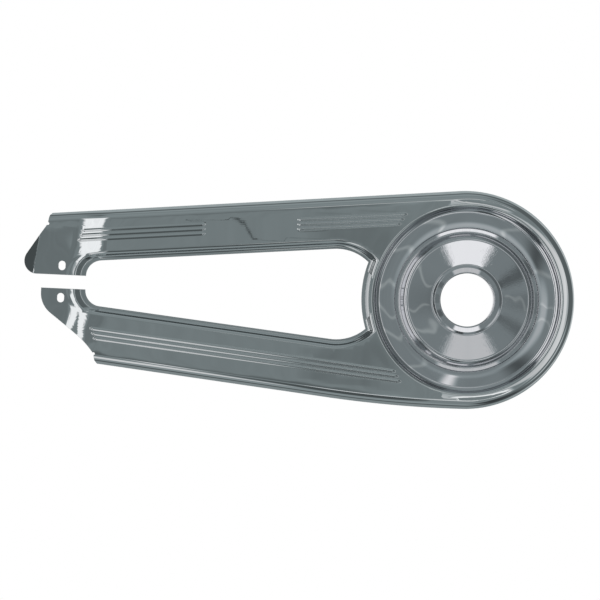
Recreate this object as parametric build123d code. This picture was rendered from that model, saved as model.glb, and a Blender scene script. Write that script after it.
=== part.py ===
from build123d import *
import math
import os

# Chain guard of a moped: one chromed pressing of sheet steel. A round end goes about the crank,
# two arms run back from it on either side of a long window, and each ends in a screw tab.
# X runs forward to the crank end, Z is up and Y points in towards the machine. The origin is on
# the crank axis, in the plane on which the two tabs are screwed. Lengths are in millimetres and
# angles in degrees. The guard is drawn flat, seen from outside with z towards the viewer, and is
# stood up when it is written.

# Sheet, whose tight bends are drawn sharp
SHEET = 0.8  # thickness of the steel
TAB_SETBACK = 2.2  # from the face of the arms back to the face of the tabs

# Rim, which turns back all round the outside
RIM_DEPTH = 15.0  # from the face to the back edge of the rim
RIM_DRAFT = 15.0  # the rim leans outwards by this angle
RIM_BEND = 5.2  # inside radius where the face turns into the rim

# Outline at the back edge of the rim
ROUND_RADIUS = 88.6  # round end, about the crank axis
UPPER_SLOPE = 5.66  # the upper edge climbs towards the crank end
LOWER_SLOPE = 5.7  # the lower edge falls towards the crank end
LOWER_DROP = 5.8  # the lower edge lies this much further from the crank than the round end
SWELL_RADIUS = 950.0  # easy curve that leads the lower edge into the round end

# Pressed disc about the crank, from the outside in
DISC_MARGIN = 4.8  # flat between the rim and the corner of the recess
RECESS_DROP = 5.0
RECESS_SLOPE = 62.0
ANNULUS_WIDTH = 14.4
CHANNEL_DROP = 1.3
CHANNEL_SLOPE = 60.0
CHANNEL_WIDTH = 4.2
SHOULDER_RISE = 7.5
SHOULDER_SLOPE = 67.0
DISH_SLOPE = 11.8  # the dish falls towards the crank
LIP_RISE = 3.5
LIP_SLOPE = 55.0
LIP_WIDTH = 3.6  # top of the rolled lip
CRANK_BORE = 42.6  # diameter of the hole for the crank
NECK_LENGTH = 6.0  # of the lip, turned back into the bore

# Window between the arms, with a joggled edge
WINDOW_SLOPE = 5.45  # each long edge opens towards the crank end
WINDOW_AHEAD = 19.3  # from the slots forward to the tail end of the window
WINDOW_TAIL_FLAT = 9.1  # straight part of the tail end, between its round corners
WINDOW_ROUND_BEHIND = 20.2  # from the disc's edge back to the middle of the round at the crank end
ARM_WIDTH = 32.7  # flat of the upper arm, beside the tail end of the window
WINDOW_DROP = 4.0  # from the face of the arms back to the joggled edge
WINDOW_SLOPE_SIDE = 60.0  # wall of the joggle along the arms and the disc
WINDOW_SLOPE_TAIL = 18.0  # wall of the joggle at the tail, which is an easy ramp
WINDOW_FLANGE = 3.1  # width of the edge
WINDOW_FLANGE_TAIL = 6.2
WINDOW_MARGIN = 0.6  # beside the disc, from the edge of the flat in to the top of the joggle

# Ribs along the arms
RIB_HEIGHT = 0.55
RIB_INSIDE = 0.7  # inside radius
RIB_PITCH = 3.75
RIB_COUNT = 3
UPPER_RIB_OFFSET = 17.2  # from the window's edge line up to the first rib
LOWER_RIB_OFFSET = 18.4
UPPER_RIB_TAB_RUN = 1.0  # the shortest upper rib runs on this far over the flat of the tab
UPPER_RIB_STAGGER = 1.1  # each lower one runs on this much further
LOWER_RIB_AHEAD = 26.3  # from the slots forward to the tail end of the first lower rib
UPPER_RIB_BREAK_X = -213.5  # the upper ribs stop here
UPPER_RIB_RESUME_X = -137.2  # and run on from here
UPPER_RIB_HEAD_X = -57.5  # crank end of the first rib
LOWER_RIB_HEAD_X = -56.5
RIB_HEAD_STAGGER = 2.4  # each further rib reaches this much nearer to the crank
LOWER_RIB_STAGGER = 1.5  # and on the lower arm starts this much further from the tail

# Tail, with each place set out from the screw slots
SLOT_X = -325.8  # from the crank axis back to the slots
SLOT_SPACING = 25.8
SLOT_WIDTH = 5.5
SLOT_LENGTH = 7.5
GAP = 10.9  # between the two tabs
STEP_AHEAD = 27.8  # from the slots forward to where the arms start to step back
STEP_SLOPE = 10.0
STEP_BEND = 35.0
STEP_SKEW = 7.0  # the step leans, with its upper end further forward
TIP_BEHIND = 23.2  # from the slots back to where the tip of the upper tab starts to curl
TIP_SLOPE = 14.0
TIP_BEND = 50.0
UPPER_TAB_BEHIND = 12.9  # from the slots back to the outer corner of the upper tab
UPPER_TAB_INSET = 0.8  # from the edge of the flat in to that corner
UPPER_TAB_SLANT = 56.1
UPPER_TAB_RADIUS = 10.5
LOWER_TAB_BEHIND = 16.0  # from the slots back to the end of the lower tab
LOWER_TAB_AHEAD = 20.8  # from the slots forward to the outer corner of the lower tab
LOWER_TAB_INSET = 8.9  # from the edge of the flat in to that corner
LOWER_TAB_END = 13.9  # height of the end of the lower tab
LOWER_TAB_RADIUS = 20.0
LOWER_TAB_EASE = 60.0
LOWER_RIM_AHEAD = 28.6  # from the slots forward to the end of the lower rim
RIM_END_LEAN = 5.5  # the ends of the rim lean forward by this angle
RELIEF_RADIUS = 1.1  # small notch where the rim stops

# Reach of the tools
SPARE = 3.0  # past what they cut
TAIL_SPARE = 45.0  # of the uncut block, past the upper tab's corner
JOGGLE_SWEEP = 80.0  # angle over which the disc's joggle is drawn, wider than the window
FRONT_SLOPE = 25.0  # a face that leans less than this looks forward


def tan(angle):
    return math.tan(math.radians(angle))


def sin(angle):
    return math.sin(math.radians(angle))


def cos(angle):
    return math.cos(math.radians(angle))


def upper_flat(x):
    """Height at which the flat of the upper arm ends and the rim's bend begins."""
    return FLAT_RADIUS / cos(UPPER_SLOPE) + x * tan(UPPER_SLOPE)


def lower_flat(x):
    """The same on the lower arm."""
    return -(FLAT_RADIUS + LOWER_DROP) / cos(LOWER_SLOPE) - x * tan(LOWER_SLOPE)


# Levels, measured towards the viewer
TAB_LEVEL = SHEET
FACE_LEVEL = TAB_LEVEL + TAB_SETBACK
EDGE_LEVEL = FACE_LEVEL - RIM_DEPTH
BASE_LEVEL = EDGE_LEVEL - SPARE
TOP_LEVEL = FACE_LEVEL + SPARE

# Places along the guard
STEP_X = SLOT_X + STEP_AHEAD
WINDOW_TAIL_X = SLOT_X + WINDOW_AHEAD
UPPER_TAB_X = SLOT_X - UPPER_TAB_BEHIND
LOWER_TAB_X = SLOT_X + LOWER_TAB_AHEAD
LOWER_RIM_X = SLOT_X + LOWER_RIM_AHEAD
TAIL_END_X = UPPER_TAB_X - TAIL_SPARE

# Radii about the crank, where the rim, the window's joggle and the recess follow each other
RIM_RUN = RIM_DEPTH * tan(RIM_DRAFT) + (RIM_BEND + SHEET) * tan((90 - RIM_DRAFT) / 2)
FLAT_RADIUS = ROUND_RADIUS - RIM_RUN
RECESS_RADIUS = FLAT_RADIUS - DISC_MARGIN
WALL_RUN = WINDOW_DROP / tan(WINDOW_SLOPE_SIDE)
WALL_TOP_RADIUS = FLAT_RADIUS - WINDOW_MARGIN
WINDOW_DISC_RADIUS = WALL_TOP_RADIUS + WALL_RUN + WINDOW_FLANGE
JOIN_RADIUS = (RECESS_RADIUS + WALL_TOP_RADIUS) / 2

# Window
WINDOW_TAIL_HALF = upper_flat(WINDOW_TAIL_X) - ARM_WIDTH
WINDOW_TAIL_CORNER = WINDOW_TAIL_HALF - WINDOW_TAIL_FLAT / 2
WINDOW_ROUND_X = -WINDOW_DISC_RADIUS - WINDOW_ROUND_BEHIND


def turned(x, y, angle):
    """A point turned about the crank axis."""
    return Vector(x, y).rotate(Axis.Z, angle)


def rounded(corners, closed=False):
    """Edges of an outline of straight runs, with each corner (x, y, radius) rounded by an arc."""
    spots = [Vector(x, y) for x, y, _ in corners]
    bends = []
    for i, (_, _, radius) in enumerate(corners):
        here = spots[i]
        if radius == 0:
            bends.append((here, None, here))
            continue
        back = (spots[i - 1] - here).normalized()
        ahead = (spots[(i + 1) % len(spots)] - here).normalized()
        half = back.get_angle(ahead) / 2
        reach = radius / tan(half)
        middle = here + (back + ahead).normalized() * (math.hypot(radius, reach) - radius)
        bends.append((here + back * reach, middle, here + ahead * reach))
    edges = []
    for i, (start, middle, end) in enumerate(bends):
        if middle is not None:
            edges.append(ThreePointArc(start, middle, end))
        if closed or i + 1 < len(bends):
            edges.append(Line(end, bends[(i + 1) % len(bends)][0]))
    return edges


def shifted(corners, inset):
    """The path moved to its left by inset, with every radius changed so that it stays parallel."""
    spots = [Vector(x, y) for x, y, _ in corners]
    runs = [(b - a).normalized() for a, b in zip(spots, spots[1:])]
    moved = []
    for i, (x, y, radius) in enumerate(corners):
        before = runs[max(i - 1, 0)]
        after = runs[min(i, len(runs) - 1)]
        share = inset / (1 + before.dot(after))
        turn = before.cross(after).Z
        x -= (before.Y + after.Y) * share
        y += (before.X + after.X) * share
        moved.append((x, y, radius - math.copysign(inset, turn) if radius else 0))
    return moved


def section(corners, inset, far):
    """Face under a section path, or over it, closed at the level far."""
    path = shifted(corners, inset)
    closing = [(path[-1][0], far, 0), (path[0][0], far, 0)]
    return make_face(rounded(path + closing, closed=True))


def border(faces):
    """Edges that bound a group of faces as a whole."""
    edges = [edge for face in faces for edge in face.edges()]
    return ShapeList(e for e in edges if sum(e.is_same(other) for other in edges) == 1)


def outer_outline(grow):
    """Outline of the guard at the back edge of the rim, grown by an amount, open to the tail."""
    radius = ROUND_RADIUS + grow
    swell = SWELL_RADIUS + grow
    reach = radius + LOWER_DROP
    lead = math.sqrt((swell - radius) ** 2 - (swell - reach) ** 2)
    centre = turned(-lead, swell - reach, -LOWER_SLOPE)
    swell_start = turned(-lead, -reach, -LOWER_SLOPE)
    swell_end = centre * (-radius / (swell - radius))
    swell_middle = centre + ((swell_start + swell_end) / 2 - centre).normalized() * swell
    round_end = turned(0, radius, UPPER_SLOPE)
    tail_low = swell_start + Vector(1, -tan(LOWER_SLOPE)) * (TAIL_END_X - swell_start.X)
    tail_high = round_end + Vector(1, tan(UPPER_SLOPE)) * (TAIL_END_X - round_end.X)
    return make_face([
        Line(tail_low, swell_start),
        ThreePointArc(swell_start, swell_middle, swell_end),
        ThreePointArc(swell_end, (radius, 0), round_end),
        Line(round_end, tail_high),
        Line(tail_high, tail_low),
    ])


def window_outline(grow, tail_grow):
    """Outline of the window, grown by one amount at the sides and by another at the tail."""
    tail_x = WINDOW_TAIL_X - tail_grow
    rise = tan(WINDOW_SLOPE)
    tail_half = WINDOW_TAIL_HALF - tail_grow * rise + grow / cos(WINDOW_SLOPE)
    radius = (tail_half + (WINDOW_ROUND_X - tail_x) * rise) * cos(WINDOW_SLOPE)
    touch = Vector(WINDOW_ROUND_X, 0) + turned(0, radius, WINDOW_SLOPE)
    tail = rounded([
        (touch.X, touch.Y, 0),
        (tail_x, tail_half, WINDOW_TAIL_CORNER + grow),
        (tail_x, -tail_half, WINDOW_TAIL_CORNER + grow),
        (touch.X, -touch.Y, 0),
    ])
    head = ThreePointArc((touch.X, -touch.Y), (WINDOW_ROUND_X + radius, 0), touch)
    return make_face(tail + [head])


def disc_section():
    """Front of the disc as corners (radius, level, bend), from its flat border in to the bore."""
    recess = FACE_LEVEL - RECESS_DROP
    recess_foot = RECESS_RADIUS - RECESS_DROP / tan(RECESS_SLOPE)
    channel_top = recess_foot - ANNULUS_WIDTH
    channel_outer = channel_top - CHANNEL_DROP / tan(CHANNEL_SLOPE)
    channel_inner = channel_outer - CHANNEL_WIDTH
    channel = recess - CHANNEL_DROP
    shoulder = channel_inner - SHOULDER_RISE / tan(SHOULDER_SLOPE)
    crest = channel + SHOULDER_RISE
    bore = CRANK_BORE / 2
    lip_outer = bore + LIP_WIDTH
    foot = lip_outer + LIP_RISE / tan(LIP_SLOPE)
    foot_level = crest - (shoulder - foot) * tan(DISH_SLOPE)
    lip = foot_level + LIP_RISE
    return [
        (JOIN_RADIUS, FACE_LEVEL, 0),
        (RECESS_RADIUS, FACE_LEVEL, 0),
        (recess_foot, recess, 0),
        (channel_top, recess, 0),
        (channel_outer, channel, 0),
        (channel_inner, channel, 0),
        (shoulder, crest, 0),
        (foot, foot_level, 0),
        (lip_outer, lip, 0),
        (bore, lip, 0),
        (bore, EDGE_LEVEL, 0),
    ]


def joggle_section():
    """Front of the joggle between the window and the disc, as corners (radius, level, bend)."""
    floor = FACE_LEVEL - WINDOW_DROP
    return [
        (WINDOW_DISC_RADIUS + SPARE, floor, 0),
        (WALL_TOP_RADIUS + WALL_RUN, floor, 0),
        (WALL_TOP_RADIUS, FACE_LEVEL, 0),
        (JOIN_RADIUS, FACE_LEVEL, 0),
    ]


def tail_section():
    """Front of the tail as corners (x, level, bend) from the arms back over the step to the tip."""
    tip = -STEP_AHEAD - TIP_BEHIND
    far = TAIL_END_X - STEP_X - ROUND_RADIUS
    return [
        (-STEP_X, FACE_LEVEL, 0),
        (0, FACE_LEVEL, STEP_BEND + SHEET),
        (-TAB_SETBACK / tan(STEP_SLOPE), TAB_LEVEL, STEP_BEND),
        (tip, TAB_LEVEL, TIP_BEND + SHEET),
        (far, TAB_LEVEL + (far - tip) * tan(TIP_SLOPE), 0),
    ]


def outer_block(inset):
    """Block with the drafted outline and the step at the tail, its front edge rounded."""
    lean = inset / cos(RIM_DRAFT)
    low = outer_outline((EDGE_LEVEL - BASE_LEVEL) * tan(RIM_DRAFT) - lean)
    high = outer_outline((inset - RIM_DEPTH) * tan(RIM_DRAFT) - lean)
    block = loft([Pos(0, 0, BASE_LEVEL) * low, Pos(0, 0, FACE_LEVEL - inset) * high], ruled=True)
    above = Plane.XZ * section(tail_section(), inset, TOP_LEVEL)
    block -= Pos(STEP_X, 0, 0) * Rot(0, 0, -STEP_SKEW) * extrude(above, 2 * ROUND_RADIUS, both=True)
    front = block.faces().filter_by(lambda face: face.normal_at().Z > cos(FRONT_SLOPE))
    rim = border(front).sort_by(Axis.X)[1:]
    return fillet(rim, RIM_BEND + SHEET - inset)


def window_well(inset):
    """Well round the window, with sloping walls, as deep as the joggled edge."""
    floor = FACE_LEVEL - WINDOW_DROP - inset
    height = TOP_LEVEL - floor
    side = WINDOW_FLANGE + inset * tan(WINDOW_SLOPE_SIDE / 2)
    tail = WINDOW_FLANGE_TAIL + inset * tan(WINDOW_SLOPE_TAIL / 2)
    low = window_outline(side, tail)
    high = window_outline(
        side + height / tan(WINDOW_SLOPE_SIDE), tail + height / tan(WINDOW_SLOPE_TAIL)
    )
    return loft([Pos(0, 0, floor) * low, Pos(0, 0, TOP_LEVEL) * high], ruled=True)


def rib(side, offset, head_x, tail_x, inset):
    """One rib beside the window's edge line, on the upper (1) or the lower (-1) arm.

    A tail_x of None takes the rib on over the step to the tab.
    """
    radius = RIB_INSIDE + SHEET - inset
    angle = side * WINDOW_SLOPE
    middle = side * (WINDOW_TAIL_HALF - WINDOW_TAIL_X * tan(WINDOW_SLOPE) + offset)
    along = turned(1, 0, angle)
    upright = Plane((0, middle, 0), x_dir=along, z_dir=along.cross(Vector(0, 0, 1)))
    path = [(head_x / cos(angle), FACE_LEVEL, 0)]
    if tail_x is None:
        spread = cos(angle + STEP_SKEW)
        step = (STEP_X * cos(STEP_SKEW) + middle * sin(STEP_SKEW)) / spread
        foot = step - TAB_SETBACK / tan(STEP_SLOPE) / spread
        last = UPPER_RIB_OFFSET + (RIB_COUNT - 1) * RIB_PITCH
        run = UPPER_RIB_TAB_RUN + (last - offset) / RIB_PITCH * UPPER_RIB_STAGGER
        path += [
            (step, FACE_LEVEL, 0),
            (foot, TAB_LEVEL, 0),
            (foot - STEP_BEND * tan(STEP_SLOPE / 2) - run, TAB_LEVEL, 0),
        ]
    else:
        path.append((tail_x / cos(angle), FACE_LEVEL, 0))
    axis = upright * Wire(rounded(shifted(path, RIB_INSIDE + SHEET - RIB_HEIGHT)))
    end = Plane(axis @ 0, z_dir=axis % 0) * Circle(radius)
    return sweep(end, path=axis, transition=Transition.RIGHT)


def ribs(inset):
    """All the ribs of both arms."""
    bars = []
    for i in range(RIB_COUNT):
        upper = UPPER_RIB_OFFSET + i * RIB_PITCH
        lower = LOWER_RIB_OFFSET + i * RIB_PITCH
        upper_head = UPPER_RIB_HEAD_X + i * RIB_HEAD_STAGGER
        lower_head = LOWER_RIB_HEAD_X + i * RIB_HEAD_STAGGER
        lower_tail = SLOT_X + LOWER_RIB_AHEAD + i * LOWER_RIB_STAGGER
        bars.append(rib(1, upper, UPPER_RIB_BREAK_X, None, inset))
        bars.append(rib(1, upper, upper_head, UPPER_RIB_RESUME_X, inset))
        bars.append(rib(-1, lower, lower_head, lower_tail, inset))
    return bars


def through(face):
    """Tool that cuts a face right through the guard."""
    return extrude(Pos(0, 0, FACE_LEVEL) * face, 2 * RIM_DEPTH, both=True)


def pressed_form(inset):
    """Everything behind the front of the guard, or behind its back when inset is the sheet."""
    body = outer_block(inset) - window_well(inset)
    body -= through(Circle(JOIN_RADIUS))
    body += revolve(Plane.XZ * section(disc_section(), inset, BASE_LEVEL), Axis.Z)
    joggle = revolve(Plane.XZ * section(joggle_section(), inset, BASE_LEVEL), Axis.Z, JOGGLE_SWEEP)
    body += Rot(0, 0, 180 - JOGGLE_SWEEP / 2) * joggle
    return body + ribs(inset)


def rim_ends():
    """Corners at which the upper and the lower rim stop."""
    return [(UPPER_TAB_X, upper_flat(UPPER_TAB_X) - UPPER_TAB_INSET), (LOWER_RIM_X, lower_flat(LOWER_RIM_X))]


def tail_waste():
    """What is cut away behind the tabs and between them."""
    (upper_x, upper_y), (rim_x, rim_y) = rim_ends()
    lower_y = lower_flat(LOWER_TAB_X) + LOWER_TAB_INSET
    half = GAP / 2
    tip_x = upper_x - (upper_y - half) / tan(UPPER_TAB_SLANT)
    end_x = SLOT_X - LOWER_TAB_BEHIND
    end_y = -half - LOWER_TAB_END
    far_x = TAIL_END_X - SPARE
    far_y = ROUND_RADIUS
    corners = [
        (upper_x + (far_y - upper_y) * tan(RIM_END_LEAN), far_y, 0),
        (upper_x, upper_y, 0),
        (tip_x, half, UPPER_TAB_RADIUS),
        (WINDOW_TAIL_X + SPARE, half, 0),
        (WINDOW_TAIL_X + SPARE, -half, 0),
        (end_x, -half, 0),
        (end_x, end_y, LOWER_TAB_RADIUS),
        (LOWER_TAB_X, lower_y, LOWER_TAB_EASE),
        (rim_x, rim_y, 0),
        (rim_x + (far_y + rim_y) * tan(RIM_END_LEAN), -far_y, 0),
        (far_x, -far_y, 0),
        (far_x, far_y, 0),
    ]
    return make_face(rounded(corners, closed=True))


def chain_guard():
    """The whole pressing, trimmed and pierced."""
    guard = pressed_form(0) - pressed_form(SHEET)
    guard = split(guard, Plane.XY.offset(EDGE_LEVEL), keep=Keep.TOP)
    neck_end = disc_section()[-2][1] - NECK_LENGTH
    guard -= Pos(0, 0, neck_end) * Cylinder(
        CRANK_BORE / 2 + LIP_WIDTH, RIM_DEPTH, align=(Align.CENTER, Align.CENTER, Align.MAX)
    )
    guard -= through(window_outline(0, 0) - Circle(WINDOW_DISC_RADIUS))
    guard -= through(tail_waste())
    slot = SlotOverall(SLOT_LENGTH, SLOT_WIDTH, rotation=90)
    for side in (1, -1):
        guard -= through(Pos(SLOT_X, side * SLOT_SPACING / 2) * slot)
    for corner in rim_ends():
        guard -= through(Pos(*corner) * Circle(RELIEF_RADIUS))
    return guard


os.makedirs("parts", exist_ok=True)
export_step(Plane.XZ * chain_guard(), "parts/chain_guard.step")
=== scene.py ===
"""Chromed chain guard of a moped: a fine pressed sheet, its chrome and a plain studio.

The sheet is drawn flat, with x forward to the crank, y up and the level towards the viewer, in
millimetres and degrees, and is stood up when it becomes a mesh.
"""

from __future__ import annotations

import logging
import math
from collections.abc import Callable
from dataclasses import dataclass, field
from enum import Enum
from typing import Union

import bpy
import numpy as np
from mathutils import Matrix, Vector
from mathutils.geometry import delaunay_2d_cdt

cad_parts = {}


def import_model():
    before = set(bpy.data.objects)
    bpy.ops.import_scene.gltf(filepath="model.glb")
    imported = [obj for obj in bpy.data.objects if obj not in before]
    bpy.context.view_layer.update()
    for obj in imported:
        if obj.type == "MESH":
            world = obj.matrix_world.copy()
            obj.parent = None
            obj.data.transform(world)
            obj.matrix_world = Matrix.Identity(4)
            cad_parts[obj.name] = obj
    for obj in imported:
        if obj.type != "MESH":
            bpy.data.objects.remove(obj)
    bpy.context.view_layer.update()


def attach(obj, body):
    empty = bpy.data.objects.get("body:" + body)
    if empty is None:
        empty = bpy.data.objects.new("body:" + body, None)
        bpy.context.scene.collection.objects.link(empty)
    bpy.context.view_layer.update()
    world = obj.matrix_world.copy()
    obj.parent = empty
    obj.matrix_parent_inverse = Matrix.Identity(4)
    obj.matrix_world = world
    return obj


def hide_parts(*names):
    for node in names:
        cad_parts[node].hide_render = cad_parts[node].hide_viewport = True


LOG = logging.getLogger("chain_guard")
Array = np.ndarray
Pair = tuple[float, float]
Triple = tuple[float, float, float]
Row = tuple[float, float, float, float]
WHITE: Triple = (1.0, 1.0, 1.0)
MILLIMETRE = 0.001
FAR = 500.0  # past both ends of the guard
LONG_RUN = 1000.0  # leaves straight runs undivided
FINE_TURN = 0.25  # between points of a path that levels are read from
SLOPE_STEP = 0.02  # over which slopes are measured
TINY = 1e-6


class Arm(Enum):
    """Side of the window an arm runs along."""

    UPPER = 1
    LOWER = -1


def tan(angle: float) -> float:
    """Tangent of an angle in degrees."""
    return math.tan(math.radians(angle))


def sin(angle: float) -> float:
    """Sine of an angle in degrees."""
    return math.sin(math.radians(angle))


def cos(angle: float) -> float:
    """Cosine of an angle in degrees."""
    return math.cos(math.radians(angle))


def soft_max(a: Array, b: Array, width: Array | float) -> Array:
    """Larger of two levels, with an easy bend where they differ by less than the width."""
    share = np.maximum(width - np.abs(a - b), 0.0)
    return np.maximum(a, b) + share * share / (4.0 * width)


def soft_min(a: Array, b: Array, width: Array | float) -> Array:
    """Smaller of two levels, with an easy bend where they differ by less than the width."""
    return -soft_max(-a, -b, width)


def ease(value: Array, low: float, high: float) -> Array:
    """Smooth step from 0 where the value is low to 1 where it is high."""
    share = np.clip((value - low) / (high - low), 0.0, 1.0)
    return share * share * (3.0 - 2.0 * share)


def slopes(height: Callable[[Array, Array], Array], x: Array, y: Array) -> tuple[Array, Array]:
    """Slopes of a height along x and along y.

    Args:
        height: Gives the height over places and heights of points.
        x: Places of the points.
        y: Heights of the points.

    Returns:
        The two slopes.
    """
    run = 2 * SLOPE_STEP
    along = (height(x + SLOPE_STEP, y) - height(x - SLOPE_STEP, y)) / run
    up = (height(x, y + SLOPE_STEP) - height(x, y - SLOPE_STEP)) / run
    return along, up


def circle(turns: Array) -> Array:
    """Points of the unit circle at turns in degrees."""
    swing = np.radians(turns)
    return np.stack([np.cos(swing), np.sin(swing)], axis=1)


def straight(touch: Vector, along: Vector, reach: float, places: Array) -> list[Row]:
    """Points along a straight edge at a reach from the crank, with the way in from each."""
    spots = [touch * reach + along * s for s in places]
    return [(spot.x, spot.y, -touch.x, -touch.y) for spot in spots]


def swept(centre: Vector, radius: float, angles: Array) -> list[Row]:
    """Points along an arc, with the way in from each."""
    ways = [(cos(angle), sin(angle)) for angle in angles]
    return [(centre.x + radius * c, centre.y + radius * s, -c, -s) for c, s in ways]


def stood(rows: Array) -> Array:
    """Rows of the flat drawing, stood up."""
    return np.stack([rows[:, 0], -rows[:, 2], rows[:, 1]], axis=1)


@dataclass(frozen=True)
class Corner:
    """Corner of a path of straight runs, with the radius that rounds it."""

    x: float
    y: float
    radius: float = 0.0


@dataclass(frozen=True)
class Bend:
    """Rounded corner: where its arc starts and ends, and how it turns."""

    start: Vector
    end: Vector
    turn: float
    radius: float
    centre: Vector

    def rows(self, turn_step: float) -> list[Row]:
        """Points along the arc with the direction of travel at each.

        Args:
            turn_step: Largest turn in degrees between points.

        Returns:
            Rows of x, y and the unit direction.
        """
        if not self.radius:
            return []
        steps = max(2, math.ceil(abs(math.degrees(self.turn)) / turn_step))
        arm = self.start - self.centre
        side = Vector((-arm.y, arm.x)).normalized()
        rows: list[Row] = []
        for k in range(steps + 1):
            swing = Matrix.Rotation(self.turn * k / steps, 2)
            spot = self.centre + swing @ arm
            heading = swing @ side * math.copysign(1.0, self.turn)
            rows.append((spot.x, spot.y, heading.x, heading.y))
        return rows


@dataclass(frozen=True)
class RoundedPath:
    """Path of straight runs whose corners are rounded by arcs."""

    corners: tuple[Corner, ...]
    closed: bool = False

    def bends(self) -> list[Bend]:
        """Rounds the corners.

        Returns:
            A bend for each corner.
        """
        spots = [Vector((c.x, c.y)) for c in self.corners]
        bends: list[Bend] = []
        for i, (here, corner) in enumerate(zip(spots, self.corners)):
            if corner.radius == 0.0:
                bends.append(Bend(here, here, 0.0, 0.0, here))
                continue
            before = (here - spots[i - 1]).normalized()
            after = (spots[(i + 1) % len(spots)] - here).normalized()
            turn = math.atan2(before.cross(after), before.dot(after))
            reach = corner.radius * math.tan(abs(turn) / 2)
            left = math.copysign(1.0, turn)
            start = here - before * reach
            centre = start + Vector((-before.y, before.x)) * (left * corner.radius)
            bends.append(Bend(start, here + after * reach, turn, corner.radius, centre))
        return bends

    def samples(self, run_step: float, turn_step: float) -> Array:
        """Points along the path with the direction of travel at each.

        Args:
            run_step: Longest step on a straight run.
            turn_step: Largest turn in degrees between points of an arc.

        Returns:
            Rows of x, y and the unit direction.
        """
        bends = self.bends()
        rows: list[Row] = []
        last = len(bends) if self.closed else len(bends) - 1
        for i, bend in enumerate(bends):
            rows += bend.rows(turn_step)
            if i == last:
                break
            ahead = bends[(i + 1) % len(bends)]
            way = ahead.start - bend.end
            heading = way.normalized()
            steps = max(1, math.ceil(way.length / run_step))
            stop = steps if ahead.radius or self.closed else steps + 1
            for k in range(1 if bend.radius else 0, stop):
                spot = bend.end.lerp(ahead.start, k / steps)
                rows.append((spot.x, spot.y, heading.x, heading.y))
        return np.array(rows)

    def level(self, x: Array) -> Array:
        """Height of the path over x, for a path that runs towards smaller x."""
        rows = self.samples(LONG_RUN, FINE_TURN)[::-1]
        return np.interp(x, rows[:, 0], rows[:, 1])


def grown(loop: Array, amount: float) -> Array:
    """Closed loop moved outwards by an amount.

    Args:
        loop: Points of the loop.
        amount: Distance to move.

    Returns:
        The moved points.
    """
    ahead = np.roll(loop, -1, axis=0)
    before = loop - np.roll(loop, 1, axis=0)
    after = ahead - loop
    before /= np.linalg.norm(before, axis=1)[:, None]
    after /= np.linalg.norm(after, axis=1)[:, None]
    area = np.sum(loop[:, 0] * ahead[:, 1] - loop[:, 1] * ahead[:, 0])
    out = np.stack([before[:, 1] + after[:, 1], -before[:, 0] - after[:, 0]], axis=1)
    share = 1.0 + np.sum(before * after, axis=1)
    return loop + out * (math.copysign(amount, area) / share)[:, None]


def inside(loop: Array, x: Array, y: Array) -> Array:
    """Tells which points lie inside a closed loop.

    Args:
        loop: Points of the loop.
        x: Places of the points.
        y: Heights of the points.

    Returns:
        A flag for each point.
    """
    flags = np.zeros(x.shape, bool)
    for (ax, ay), (bx, by) in zip(loop, np.roll(loop, -1, axis=0)):
        if ay == by:
            continue
        crosses = (ay > y) != (by > y)
        flags ^= crosses & (x < (bx - ax) * (y - ay) / (by - ay) + ax)
    return flags


@dataclass(frozen=True)
class Levels:
    """Levels of the sheet towards the viewer."""

    sheet: float = 0.8
    face: float = 3.0
    tab: float = 0.8
    edge: float = -12.0
    edge_round: float = 0.2


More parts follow.
